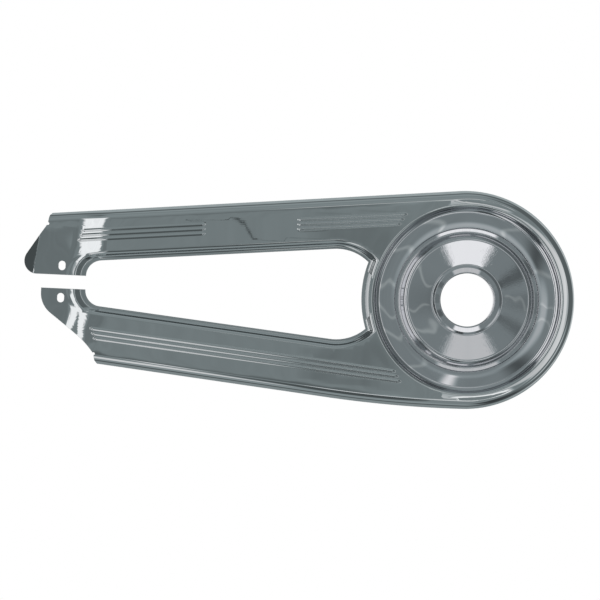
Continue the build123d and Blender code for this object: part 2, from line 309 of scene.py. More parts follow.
@dataclass(frozen=True)
class Rim:
    """Drafted rim that turns back all round the outside."""

    levels: Levels
    draft: float = 15.0
    bend: float = 6.0
    round_radius: float = 88.6
    upper_slope: float = 5.66
    lower_slope: float = 5.7
    lower_drop: float = 5.8
    swell: float = 950.0
    tail_x: float = -352.0
    edge_share: float = 0.75  # of the draft's run, left to the rounded edge
    bend_steps: int = 13
    wall_steps: int = 4
    upper_count: int = 150
    round_count: int = 132
    swell_count: int = 32
    lower_count: int = 110

    @property
    def reach(self) -> float:
        """Plan distance from the sharp corner of the rim to the end of its bend."""
        return self.bend * tan((90.0 - self.draft) / 2)

    @property
    def flat_radius(self) -> float:
        """Radius at which the flat of the round end stops."""
        run = (self.levels.face - self.levels.edge) * tan(self.draft)
        return self.round_radius - run - self.reach

    @property
    def first_ring(self) -> float:
        """Plan distance in from the back edge at which the front skin starts.

        Returns:
            The distance.
        """
        levels = self.levels
        lift = levels.edge_round * (1.0 + cos(self.draft)) + levels.sheet * sin(self.draft)
        return lift * tan(self.draft) * self.edge_share

    @property
    def lead(self) -> float:
        """Distance along the lower edge from the crank back to the swell."""
        far = self.swell - self.round_radius
        return math.sqrt(far**2 - (far - self.lower_drop) ** 2)

    @property
    def swell_centre(self) -> Vector:
        """Middle of the easy curve of the lower edge."""
        up = self.swell - self.round_radius - self.lower_drop
        return Matrix.Rotation(math.radians(-self.lower_slope), 2) @ Vector((-self.lead, up))

    def upper_flat(self, x: float) -> float:
        """Height at which the flat of the upper arm ends."""
        return self.flat_radius / cos(self.upper_slope) + x * tan(self.upper_slope)

    def lower_flat(self, x: float) -> float:
        """Height at which the flat of the lower arm ends."""
        reach = self.flat_radius + self.lower_drop
        return -reach / cos(self.lower_slope) - x * tan(self.lower_slope)

    def distance(self, x: Array, y: Array) -> Array:
        """Plan distance in from the back edge of the rim.

        Args:
            x: Places of the points.
            y: Heights of the points.

        Returns:
            Distances, positive inside.
        """
        upper_sin, upper_cos = sin(self.upper_slope), cos(self.upper_slope)
        lower_sin, lower_cos = sin(self.lower_slope), cos(self.lower_slope)
        centre = self.swell_centre
        away = -centre.normalized()
        upper = self.round_radius + upper_sin * x - upper_cos * y
        lower = self.round_radius + self.lower_drop + lower_sin * x + lower_cos * y
        swell = self.swell - np.hypot(x - centre.x, y - centre.y)
        result = self.round_radius - np.hypot(x, y)
        result = np.where((y > 0) & (x * upper_cos + y * upper_sin < 0), upper, result)
        result = np.where((y <= 0) & (away.x * y - away.y * x < 0), swell, result)
        return np.where((y <= 0) & (x * lower_cos - y * lower_sin < -self.lead), lower, result)

    def bend_ends(self, face: Array) -> tuple[Array, Array]:
        """Plan distances at which the bend meets the face and the wall."""
        corner = (face - self.levels.edge) * tan(self.draft)
        return corner + self.reach, corner - self.reach * sin(self.draft)

    def level(self, distance: Array, face: Array) -> Array:
        """Level of the front of the rim.

        Args:
            distance: Plan distances in from the back edge.
            face: Level of the face beside each point.

        Returns:
            Levels.
        """
        flat, wall = self.bend_ends(face)
        rise = np.sqrt(np.maximum(self.bend**2 - (flat - distance) ** 2, 0.0))
        arc = face - self.bend + rise
        leaning = self.levels.edge + distance / tan(self.draft)
        return np.where(distance >= flat, face, np.where(distance >= wall, arc, leaning))

    def stations(self) -> Array:
        """Points along the back edge with the way in from each.

        Returns:
            Rows of x, y and the unit direction inwards.
        """
        upper, lower, radius = self.upper_slope, self.lower_slope, self.round_radius
        start = self.tail_x / cos(upper)
        centre = self.swell_centre
        away = -centre.normalized()
        low = math.degrees(math.atan2(away.y, away.x))
        places = np.linspace(start, 0.0, self.upper_count, endpoint=False)
        touch = Vector((-sin(upper), cos(upper)))
        rows = straight(touch, Vector((cos(upper), sin(upper))), radius, places)
        angles = np.linspace(90.0 + upper, low, self.round_count, endpoint=False)
        rows += swept(Vector((0.0, 0.0)), radius, angles)
        angles = np.linspace(low, -90.0 - lower, self.swell_count, endpoint=False)
        rows += swept(centre, self.swell, angles)
        places = np.linspace(-self.lead, start, self.lower_count)
        touch = Vector((-sin(lower), -cos(lower)))
        along = Vector((cos(lower), -sin(lower)))
        rows += straight(touch, along, radius + self.lower_drop, places)
        return np.array(rows)

    def rings(self, face: Array) -> list[Array]:
        """Plan distances of the rings of points along the rim.

        Args:
            face: Level of the face at each station.

        Returns:
            One array of distances for each ring, from the edge in.
        """
        flat, wall = self.bend_ends(face)
        turn = 90.0 - self.draft
        first = self.first_ring
        rings = [first + (wall - first) * k / self.wall_steps for k in range(self.wall_steps)]
        for k in range(self.bend_steps + 1):
            rings.append(flat - self.bend * sin(turn * (1.0 - k / self.bend_steps)))
        return rings


@dataclass(frozen=True)
class Tail:
    """Step from the arms to the screw tabs, with the trim of the tabs."""

    levels: Levels
    slot_x: float = -325.8
    slot_spacing: float = 25.8
    slot_width: float = 5.5
    slot_length: float = 7.5
    gap: float = 10.9
    step_ahead: float = 27.8
    step_slope: float = 6.5
    step_bend: float = 100.0
    step_skew: float = 7.0
    tip_behind: float = 23.2
    tip_slope: float = 14.0
    tip_blend: float = 0.03
    lower_slope: float = 11.5
    lower_bend: float = 53.0
    lower_blend: Pair = (4.0, 30.0)  # below the middle, from the upper step to the lower
    rib_reach: float = 12.5
    upper_behind: float = 12.9
    upper_inset: float = 0.8
    upper_slant: float = 56.1
    upper_radius: float = 10.5
    lower_behind: float = 16.0
    lower_ahead: float = 20.8
    lower_inset: float = 8.9
    lower_end: float = 13.9
    lower_radius: float = 20.0
    lower_ease: float = 60.0
    lower_rim_ahead: float = 28.6
    rim_lean: float = 5.5
    relief: float = 1.1
    window_reach: float = 22.3
    spare: float = 30.0
    trim_steps: Pair = (2.0, 6.0)  # longest run and largest turn between points
    hole_turn: float = 7.5

    @property
    def step_x(self) -> float:
        """Place along the guard at which the arms start to step back."""
        return self.slot_x + self.step_ahead

    @property
    def tip(self) -> float:
        """Distance ahead of the step line at which the tip starts to curl."""
        return -self.step_ahead - self.tip_behind

    def ahead(self, x: Array, y: Array) -> Array:
        """Distance ahead of the leaning step line."""
        return (x - self.step_x) * cos(self.step_skew) - y * sin(self.step_skew)

    def spots(self, ahead: Array | float, run: Array) -> Array:
        """Points set out from the step line.

        Args:
            ahead: Distances ahead of it.
            run: Places along it.

        Returns:
            The points.
        """
        skew_cos, skew_sin = cos(self.step_skew), sin(self.step_skew)
        x = self.step_x + ahead * skew_cos + run * skew_sin
        return np.stack([x, run * skew_cos - ahead * skew_sin], axis=1)

    def step(self, ahead: Array, slope: float, bend: float) -> Array:
        """Level over a step from the arms to the tabs.

        Args:
            ahead: Distances ahead of the step line.
            slope: Slope of the step.
            bend: Radius of its two bends.

        Returns:
            Levels.
        """
        face, tab = self.levels.face, self.levels.tab
        setback = face - tab
        middle = -0.5 * setback / tan(self.step_slope)
        half = 0.5 * setback / tan(slope)
        path = RoundedPath((
            Corner(FAR, face),
            Corner(middle + half, face, bend + self.levels.sheet),
            Corner(middle - half, tab, bend),
            Corner(-FAR, tab),
        ))
        return path.level(ahead)

    def level(self, x: Array, y: Array) -> Array:
        """Level of the face, over the step and the curled tip.

        Args:
            x: Places of the points.
            y: Heights of the points.

        Returns:
            Levels.
        """
        ahead = self.ahead(x, y)
        upper = self.step(ahead, self.step_slope, self.step_bend)
        lower = self.step(ahead, self.lower_slope, self.lower_bend)
        past = soft_max(self.tip - ahead, np.zeros(x.shape), self.tip_blend)
        curl = np.where(y > 0.0, past * tan(self.tip_slope), 0.0)
        return upper + (lower - upper) * ease(-y, *self.lower_blend) - curl

    def rim_ends(self, rim: Rim) -> list[Pair]:
        """Corners at which the upper and the lower rim stop.

        Args:
            rim: Rim of the guard.

        Returns:
            The two corners.
        """
        upper_x = self.slot_x - self.upper_behind
        lower_x = self.slot_x + self.lower_rim_ahead
        upper_y = rim.upper_flat(upper_x) - self.upper_inset
        return [(upper_x, upper_y), (lower_x, rim.lower_flat(lower_x))]

    def waste(self, rim: Rim) -> Array:
        """Loop of what is cut away behind the tabs and between them.

        Args:
            rim: Rim of the guard.

        Returns:
            Points of the loop.
        """
        (upper_x, upper_y), (rim_x, rim_y) = self.rim_ends(rim)
        lower_x = self.slot_x + self.lower_ahead
        lower_y = rim.lower_flat(lower_x) + self.lower_inset
        half = self.gap / 2
        tip_x = upper_x - (upper_y - half) / tan(self.upper_slant)
        end_x = self.slot_x - self.lower_behind
        head_x = self.slot_x + self.window_reach
        high = rim.round_radius
        far_x = tip_x - self.spare
        path = RoundedPath((
            Corner(upper_x + (high - upper_y) * tan(self.rim_lean), high),
            Corner(upper_x, upper_y),
            Corner(tip_x, half, self.upper_radius),
            Corner(head_x, half),
            Corner(head_x, -half),
            Corner(end_x, -half),
            Corner(end_x, -half - self.lower_end, self.lower_radius),
            Corner(lower_x, lower_y, self.lower_ease),
            Corner(rim_x, rim_y),
            Corner(rim_x + (high + rim_y) * tan(self.rim_lean), -high),
            Corner(far_x, -high),
            Corner(far_x, high),
        ), closed=True)
        return path.samples(*self.trim_steps)[:, :2]

    def holes(self, rim: Rim) -> list[Array]:
        """Loops of the screw slots and of the relief notches.

        Args:
            rim: Rim of the guard.

        Returns:
            The loops.
        """
        ring = circle(np.arange(0.0, 360.0, self.hole_turn))
        radius = self.slot_width / 2
        shift = (self.slot_length - self.slot_width) / 2
        stretch = np.where(ring[:, 1] >= 0.0, shift, -shift)
        loops: list[Array] = []
        for side in Arm:
            loop = np.array([self.slot_x, side.value * self.slot_spacing / 2]) + radius * ring
            loop[:, 1] += stretch
            loops.append(loop)
        return loops + [np.array(end) + self.relief * ring for end in self.rim_ends(rim)]


@dataclass(frozen=True)
class Window:
    """Window between the arms, with its joggled edge."""

    levels: Levels
    rim: Rim
    slope: float = 5.45
    tail_x: float = -306.5
    tail_flat: float = 9.1
    arm_width: float = 32.7
    round_behind: float = 20.2
    drop: float = 4.0
    side_slope: float = 60.0
    tail_slope: float = 22.5
    flange: float = 3.1
    tail_flange: float = 4.0
    margin: float = 0.6
    foot_radius: float = 2.6
    mouth_radius: float = 3.6
    mitre_blend: float = 1.2
    mitre_lap: float = 1.3  # height by which rings run on past the mitre
    lead: float = 0.14  # easy fall of the face before the joggle
    lead_run: float = 2.4
    wall_range: Pair = (-14.0, 40.0)  # heights between which the wall is searched
    halvings: int = 34
    probe: float = 0.05  # over which the wall's slope is measured
    least_steep: float = 0.9  # of the slope at the tail
    tail_count: int = 5
    corner_count: int = 16
    side_count: int = 66
    round_count: int = 36
    edge_growth: Pair = (1.2, 2.4)
    disc_edge: float = 1.5
    disc_sweep: Pair = (140.0, 220.0)
    disc_count: int = 180
    disc_reach: float = 8.0
    heights: tuple[float, ...] = (  # of the wall, at which rings of points lie
        -1.2, -0.8, -0.4, -0.2, 0.0, 0.2, 0.4, 0.8, 1.2, 1.5, 1.8, 2.1,
        2.4, 2.8, 3.2, 3.6, 4.0, 4.5, 5.0, 5.6, 6.2, 6.9, 7.6,
    )

    @property
    def tail_half(self) -> float:
        """Half the height of the tail end of the window."""
        return self.rim.upper_flat(self.tail_x) - self.arm_width

    @property
    def floor(self) -> float:
        """Level of the joggled edge."""
        return self.levels.face - self.drop

    @property
    def wall_top(self) -> float:
        """Radius about the crank at which the disc's joggle starts."""
        return self.rim.flat_radius - self.margin

    @property
    def disc_radius(self) -> float:
        """Radius about the crank of the window's edge beside the disc."""
        return self.wall_top + self.drop / tan(self.side_slope) + self.flange

    @property
    def round_x(self) -> float:
        """Middle of the round at the crank end."""
        return -self.disc_radius - self.round_behind

    def growth(self, height: Array | float) -> tuple[Array | float, Array | float]:
        """Growth of the outline, at the sides and at the tail, up to a height of the wall."""
        side = self.flange + height / tan(self.side_slope)
        return side, self.tail_flange + height / tan(self.tail_slope)

    def outline(self, grow: Array | float, tail_grow: Array | float) -> tuple[Array | float, ...]:
        """Sizes of the window's outline, grown.

        Args:
            grow: Growth at the sides.
            tail_grow: Growth at the tail.

        Returns:
            Place of the tail end, radius of its corners, place and height of their middles, and
            radius of the round at the crank end, with the half height of the tail end last.
        """
        rise = tan(self.slope)
        tail_x = self.tail_x - tail_grow
        half = self.tail_half - tail_grow * rise + grow / cos(self.slope)
        corner = self.tail_half - self.tail_flat / 2 + grow
        centre_x = tail_x + corner
        centre_y = half + corner * rise - corner / cos(self.slope)
        radius = (half + (self.round_x - tail_x) * rise) * cos(self.slope)
        return tail_x, corner, centre_x, centre_y, radius, half

    def distance(self, x: Array, y: Array, grow: Array, tail_grow: Array) -> Array:
        """Distance out from the window's outline grown at the sides and at the tail.

        Args:
            x: Places of the points.
            y: Heights of the points.
            grow: Growth at the sides.
            tail_grow: Growth at the tail.

        Returns:
            Distances, negative inside.
        """
        tail_x, corner, centre_x, centre_y, radius, half = self.outline(grow, tail_grow)
        rise, run = sin(self.slope), cos(self.slope)
        high = np.abs(y)
        side = (high - half) * run - (x - tail_x) * rise
        result = np.maximum(side, tail_x - x)
        behind = (x - centre_x) * run + (high - centre_y) * rise < 0
        rounded = np.hypot(x - centre_x, high - centre_y) - corner
        result = np.where(behind & (high > centre_y), rounded, result)
        ahead = (x - self.round_x) * run + high * rise > 0
        return np.where(ahead, np.hypot(x - self.round_x, high) - radius, result)

    def arm_wall(self, x: Array, y: Array) -> Array:
        """Height of the joggle's wall along the arms over its floor, as if it never ended.

        Args:
            x: Places of the points.
            y: Heights of the points.

        Returns:
            Heights.
        """
        low, high = (np.full(x.shape, end) for end in self.wall_range)
        for _ in range(self.halvings):
            middle = (low + high) / 2
            outside = self.distance(x, y, *self.growth(middle)) > 0
            low = np.where(outside, middle, low)
            high = np.where(outside, high, middle)
        return (low + high) / 2

    def disc_wall(self, x: Array, y: Array) -> Array:
        """Height of the joggle's wall along the disc over its floor, as if it never ended."""
        return self.drop + (self.wall_top - np.hypot(x, y)) * tan(self.side_slope)

    def level(self, x: Array, y: Array, face: Array) -> Array:
        """Level of the joggle and of the face beside it.

        Args:
            x: Places of the points.
            y: Heights of the points.
            face: Level of the face at each point.

        Returns:
            Levels.
        """
        probe = self.probe
        arm = self.arm_wall(x, y)
        along, up = self.arm_wall(x + probe, y) - arm, self.arm_wall(x, y + probe) - arm
        least = tan(self.tail_slope) * self.least_steep
        steep = np.clip(np.hypot(along, up) / probe, least, tan(self.side_slope))
        bend = steep * np.tan(np.arctan(steep) / 2)
        past = np.clip((arm - self.drop) / steep / self.lead_run, 0.0, 1.0)
        face = face - self.lead * (1.0 - past) ** 2
        wall = soft_max(arm, self.disc_wall(x, y), self.mitre_blend)
        wall = soft_max(wall, np.zeros(x.shape), bend * self.foot_radius) + self.floor
        return soft_min(wall, face, bend * self.mouth_radius)

    def ring(self, grow: float, tail_grow: float) -> Array:
        """Points of the window's outline, grown.

        Args:
            grow: Growth at the sides.
            tail_grow: Growth at the tail.

        Returns:
            Points of the closed outline.
        """
        tail_x, corner, centre_x, centre_y, radius, _ = self.outline(grow, tail_grow)
        rise, run, square = sin(self.slope), cos(self.slope), 90.0 + self.slope
        steps = np.linspace(0.0, centre_y, self.tail_count, endpoint=False)
        spots = [(tail_x, y) for y in steps]
        for angle in np.linspace(180.0, square, self.corner_count, endpoint=False):
            spots.append((centre_x + corner * cos(angle), centre_y + corner * sin(angle)))
        start = Vector((centre_x - corner * rise, centre_y + corner * run))
        touch = Vector((self.round_x - radius * rise, radius * run))
        for share in np.linspace(0.0, 1.0, self.side_count, endpoint=False):
            spots.append(tuple(start.lerp(touch, share)))
        for angle in np.linspace(square, 0.0, self.round_count):
            spots.append((self.round_x + radius * cos(angle), radius * sin(angle)))
        mirrored = [(x, -y) for x, y in reversed(spots[1:-1])]
        return np.array(spots + mirrored)


@dataclass(frozen=True)
class Rib:
    """One pressed rib beside the window's edge line."""

    arm: Arm
    middle: float
    slope: float
    head: float
    tail: float
    height: float = 0.66
    half_width: float = 1.55
    end_taper: float = 0.62
    run_step: float = 3.0
    end_count: int = 9
    ring_shares: tuple[float, ...] = (1.0, 0.78, 0.56, 0.34, 0.14)
    pip: float = 0.15
    pip_radius: float = 1.05
    pip_past: float = 2.0
    pip_turn: float = 30.0
    pip_shares: tuple[float, ...] = (0.25, 0.5, 0.75, 1.0)

    @property
    def angle(self) -> float:
        """Angle by which the rib climbs towards the crank."""
        return self.arm.value * self.slope

    def spread(self, x: Array, y: Array) -> Array:
        """Distance from the rib's middle line, rounded about its ends.

        Args:
            x: Places of the points.
            y: Heights of the points.

        Returns:
            Distances.
        """
        rise, run = sin(self.angle), cos(self.angle)
        along = x * run + (y - self.middle) * rise
        off = (y - self.middle) * run - x * rise
        past = np.maximum(along - self.head, 0.0) + np.maximum(self.tail - along, 0.0)
        return np.hypot(off, past * self.end_taper)

    def bump(self, x: Array, y: Array) -> Array:
        """Height of the rib over the face.

        Args:
            x: Places of the points.
            y: Heights of the points.

        Returns:
            Heights.
        """
        share = np.clip(1.0 - (self.spread(x, y) / self.half_width) ** 2, 0.0, None)
        height = self.height * share * share
        for end in self.ends():
            far = np.hypot(x - end[0], y - end[1]) ** 2 / self.pip_radius**2
            share = np.clip(1.0 - far, 0.0, None)
            height = height + self.pip * share * share
        return height

    def ends(self) -> list[Array]:
        """Middles of the pips at the two ends.

        Returns:
            The two points.
        """
        places = (self.head + self.pip_past, self.tail - self.pip_past)
        rise, run = sin(self.angle), cos(self.angle)
        return [np.array([s * run, self.middle + s * rise]) for s in places]

    def pips(self) -> Array:
        """Loose points over the pips.

        Returns:
            The points.
        """
        ring = circle(np.arange(0.0, 360.0, self.pip_turn))
        radii = [self.pip_radius * share for share in self.pip_shares]
        return np.concatenate([end + ring * r for end in self.ends() for r in radii])

    def rings(self) -> list[Array]:
        """Closed loops of points round the rib, from its foot to its crest.

        Returns:
            The loops.
        """
        along = np.array([cos(self.angle), sin(self.angle)])
        across = np.array([-sin(self.angle), cos(self.angle)])
        base = np.array([0.0, self.middle])
        count = max(3, int((self.head - self.tail) / self.run_step))
        runs = np.linspace(self.tail, self.head, count)
        turns = circle(np.linspace(90.0, -90.0, self.end_count))[1:-1]
        loops: list[Array] = []
        for share in self.ring_shares:
            off = self.half_width * share
            spots = [(s, 1.0) for s in runs]
            spots += [(self.head + off * c / self.end_taper, s) for c, s in turns]
            spots += [(s, -1.0) for s in runs[::-1]]
            spots += [(self.tail - off * c / self.end_taper, s) for c, s in turns[::-1]]
            loops.append(np.array([base + along * s + across * off * way for s, way in spots]))
        return loops


@dataclass(frozen=True)
class RibGroups:
    """Groups of ribs along the two arms, the upper one broken in the middle."""

    window: Window
    tail: Tail
    count: int = 3
    pitch: float = 3.75
    inset: float = 1.2
    head_stagger: float = 2.4
    upper_offset: float = 17.2
    upper_run: float = 4.1
    upper_stagger: float = 1.1
    upper_break: float = -213.5
    upper_resume: float = -137.2
    upper_head: float = -57.5
    lower_offset: float = 18.4
    lower_head: float = -56.5
    lower_ahead: float = 26.3
    lower_stagger: float = 1.5

    def build(self) -> list[Rib]:
        """Sets out the ribs of both arms.

        Returns:
            The ribs.
        """
        slope, skew, inset = self.window.slope, self.tail.step_skew, self.inset
        run = cos(slope)
        base = self.window.tail_half - self.window.tail_x * tan(slope)
        spread = cos(slope + skew)
        ribs: list[Rib] = []
        for i in range(self.count):
            middle = base + self.upper_offset + i * self.pitch
            step = (self.tail.step_x * cos(skew) + middle * sin(skew)) / spread
            foot = step - self.tail.rib_reach / spread
            past = self.upper_run + (self.count - 1 - i) * self.upper_stagger
            head = (self.upper_head + i * self.head_stagger) / run
            end, start = self.upper_break / run, self.upper_resume / run
            ribs.append(Rib(Arm.UPPER, middle, slope, end - inset, foot - past + inset))
            ribs.append(Rib(Arm.UPPER, middle, slope, head - inset, start + inset))
            middle = -base - self.lower_offset - i * self.pitch
            head = (self.lower_head + i * self.head_stagger) / run
            end = (self.tail.slot_x + self.lower_ahead + i * self.lower_stagger) / run
            ribs.append(Rib(Arm.LOWER, middle, slope, head - inset, end + inset))
        return ribs


@dataclass(frozen=True)
class Disc:
    """Pressed disc about the crank, from its flat border in to the bore."""

    levels: Levels
    border: float
    recess: float
    stations: int = 264
    steps: Pair = (6.0, 9.0)  # longest run and largest turn between rings
    recess_drop: float = 5.0
    recess_slope: float = 62.0
    recess_bend: float = 3.3
    foot_bend: float = 4.6
    annulus_width: float = 14.4
    roll_run: float = 5.8
    roll_slope: float = 1.6
    roll_bend: float = 400.0
    channel_drop: float = 1.9
    channel_slope: float = 60.0
    channel_width: float = 3.6
    channel_tilt: float = 11.8
    brink_bend: float = 0.5
    land_bend: float = 0.4
    channel_bend: float = 1.6
    shoulder_rise: float = 8.1
    crest_rise: float = 6.2
    shoulder_slope: float = 67.0
    crest_bend: float = 3.6
    dish_slope: float = 11.8
    lip_rise: float = 1.8
    lip_slope: float = 40.0
    lip_width: float = 4.8
    lip_fall: float = 10.0
    lip_foot_bend: float = 2.4
    lip_bend: float = 1.4
    bore: float = 21.3
    bore_bend: float = 1.0
    neck: float = 6.0

    def path(self) -> RoundedPath:
        """Section of the front of the disc.

        Returns:
            The path from the border in to the end of the neck.
        """
        face = self.levels.face
        floor = face - self.recess_drop
        foot = self.recess - self.recess_drop / tan(self.recess_slope)
        channel_top = foot - self.annulus_width
        channel = floor - self.channel_drop
        land = channel + self.channel_width * tan(self.channel_tilt)
        edge = floor - self.roll_run * tan(self.roll_slope)
        channel_outer = channel_top - (edge - land) / tan(self.channel_slope)
        channel_inner = channel_outer - self.channel_width
        shoulder = channel_inner - self.shoulder_rise / tan(self.shoulder_slope)
        crest = floor + self.crest_rise
        lip_outer = self.bore + self.lip_width
        lip_foot = lip_outer + self.lip_rise / tan(self.lip_slope)
        foot_level = crest - (shoulder - lip_foot) * tan(self.dish_slope)
        lip = foot_level + self.lip_rise
        return RoundedPath((
            Corner(self.border, face),
            Corner(self.recess, face, self.recess_bend),
            Corner(foot, floor, self.foot_bend),
            Corner(channel_top + self.roll_run, floor, self.roll_bend),
            Corner(channel_top, edge, self.brink_bend),
            Corner(channel_outer, land, self.land_bend),
            Corner(channel_inner, channel, self.channel_bend),
            Corner(shoulder, crest, self.crest_bend),
            Corner(lip_foot, foot_level, self.lip_foot_bend),
            Corner(lip_outer, lip - self.lip_width * tan(self.lip_fall), self.lip_bend),
            Corner(self.bore, lip, self.bore_bend),
            Corner(self.bore, lip - self.neck + self.levels.edge_round),
        ))

    def grid(self) -> tuple[Array, Array]:
        """Points of the disc in rings from the border in, with their normals.

        Returns:
            Points and normals, each as rings by stations by three.
        """
        rows = self.path().samples(*self.steps)[:, :, None, None]
        ring = circle(np.arange(self.stations) * 360.0 / self.stations)
        spots = np.zeros((len(rows), self.stations, 3))
        normals = np.zeros_like(spots)
        spots[:, :, :2] = rows[:, 0] * ring
        spots[:, :, 2] = rows[:, 1, 0]
        normals[:, :, :2] = rows[:, 3] * ring
        normals[:, :, 2] = -rows[:, 2, 0]
        return spots, normals


@dataclass
class Plan:
    """Points and edges of the flat drawing that the face is meshed from."""

    spots: list[Array] = field(default_factory=list)
    edges: list[Array] = field(default_factory=list)
    count: int = 0
    merge: float = 1e-4

    def add(self, points: Array, closed: bool = False, keep: Array | None = None) -> None:
        """Adds a line of points with the edges between neighbours.

        Args:
            points: Points of the line.
            closed: Whether the last point joins the first.
            keep: Flags of the points to use; edges join used neighbours only.
        """
        size = len(points)
        keep = np.ones(size, bool) if keep is None else keep
        index = np.cumsum(keep) - 1 + self.count
        first = np.arange(size if closed else size - 1)
        second = (first + 1) % size
        both = keep[first] & keep[second]
        self.scatter(points[keep])
        self.edges.append(np.stack([index[first[both]], index[second[both]]], axis=1))

    def scatter(self, points: Array) -> None:
        """Adds loose points."""
        self.spots.append(points)
        self.count += len(points)

    def triangles(self) -> tuple[Array, Array]:
        """Meshes the drawing.

        Returns:
            Points and triangles, which turn left.
        """
        spots = [Vector(p) for p in np.concatenate(self.spots)]
        edges = [tuple(e) for e in np.concatenate(self.edges).tolist()]
        verts, _, faces, *_ = delaunay_2d_cdt(spots, edges, [], 0, self.merge, False)
        points = np.array([(v.x, v.y) for v in verts])
        tris = np.array([f for f in faces if len(f) == 3])
        a, b, c = (points[tris[:, k]] for k in range(3))
        b, c = b - a, c - a
        area = b[:, 0] * c[:, 1] - b[:, 1] * c[:, 0]
        tris[area < 0] = tris[area < 0][:, ::-1]
        return points, tris[np.abs(area) > TINY]


@dataclass(frozen=True)
class Dent:
    """Shallow place where the sheet was drawn in or out."""

    x: float
    y: float
    reach: float
    rise: float

    def height(self, x: Array, y: Array) -> Array:
        """Height of the dent over the sheet."""
        far = (x - self.x) ** 2 + (y - self.y) ** 2
        return self.rise * np.exp(-far / (2 * self.reach**2))


@dataclass(frozen=True)
class Wave:
    """Slight wave of the sheet, by its lengths along x and y, its shift and its share."""

    along: float
    up: float
    shift: float = 0.0
    share: float = 1.0

    def height(self, x: Array, y: Array) -> Array:
        """Height of the wave."""
        return self.share * np.sin(x / self.along + y / self.up + self.shift)


@dataclass(frozen=True)
class Relief:
    """Crown of the border beside the round rim, slight waves and dents of the sheet."""

    rim: Rim
    recess: float
    crown_lead: float = 0.4
    crown_width: float = 5.6
    crown_start: float = 3.6
    crown_gain: float = 0.45
    crown_end_gain: float = 1.5
    crown_end: float = 80.0
    crown_end_power: int = 10
    crown_fade: Pair = (-30.0, 4.0)
    wave_height: float = 0.03
    wave_run: float = 12.0
    waves: tuple[Wave, ...] = (
        Wave(17.0, 23.0), Wave(29.0, -13.0, 1.3), Wave(9.0, 31.0, 0.0, 0.5),
    )
    rim_ease: float = 0.18
    rim_reach: float = 12.4
    rim_run: float = 7.4
    arm_fade: Pair = (-60.0, -15.0)
    dents: tuple[Dent, ...] = (
        Dent(-301.0, 54.0, 6.0, -0.22),
        Dent(-293.0, 33.0, 6.0, 0.22),
        Dent(-310.0, 30.0, 6.0, -0.16),
        Dent(-289.0, 50.0, 5.0, -0.12),
        Dent(-304.0, -27.0, 6.0, -0.22),
        Dent(-294.0, -47.0, 5.0, 0.2),
        Dent(-313.0, -38.0, 5.0, 0.18),
        Dent(-321.0, -26.0, 5.0, 0.1),
        Dent(-336.0, 36.0, 7.0, 0.1),
        Dent(-330.0, 20.0, 8.0, -0.06),
    )

    def height(self, x: Array, y: Array) -> Array:
        """Height of the relief over the flat drawing.

        Args:
            x: Places of the points.
            y: Heights of the points.

        Returns:
            Heights.
        """
        radius = np.hypot(x, y)
        past = np.clip(radius - self.recess + self.crown_lead, 0.0, self.crown_width)
        end = np.clip(np.abs(y) / self.crown_end, 0.0, 1.0) ** self.crown_end_power
        gain = self.crown_gain + self.crown_end_gain * end
        crown = past * tan(self.crown_start) + past**2 / 2 * np.radians(gain)
        wave = sum(wave.height(x, y) for wave in self.waves)
        crest = sum(wave.share for wave in self.waves)
        outside = ease(radius, self.recess, self.recess + self.wave_run)
        ripple = self.wave_height * (wave - crest) * outside
        arms = 1.0 - ease(x, *self.arm_fade)
        near = ease(self.rim_reach - self.rim.distance(x, y), 0.0, self.rim_run)
        soft = self.rim_ease * near * arms
        dents = sum(dent.height(x, y) for dent in self.dents)
        return ripple - crown * ease(x, *self.crown_fade) - soft + dents


@dataclass(frozen=True)
class Spacing:
    """Spacing of the loose points of the faces, and how far they keep from what is drawn."""

    reach_x: Pair = (-372.0, 90.0)
    reach_y: Pair = (-92.0, 92.0)
    step: float = 3.4
    fine_ahead: Pair = (-80.0, 8.0)
    fine_run: Pair = (-66.0, 66.0)
    fine_step: float = 1.1
    fine_run_step: float = 2.6
    fold_gap: float = 0.03
    fold_run: Triple = (4.0, 62.0, 1.5)
    off_rim: float = 0.8
    off_rib: float = 2.2
    off_joggle: float = 8.4
    off_disc: float = 1.2
    ring_off_disc: float = 0.3
    face_probe: float = 6.0  # in from the back edge, where the rim reads the face's level


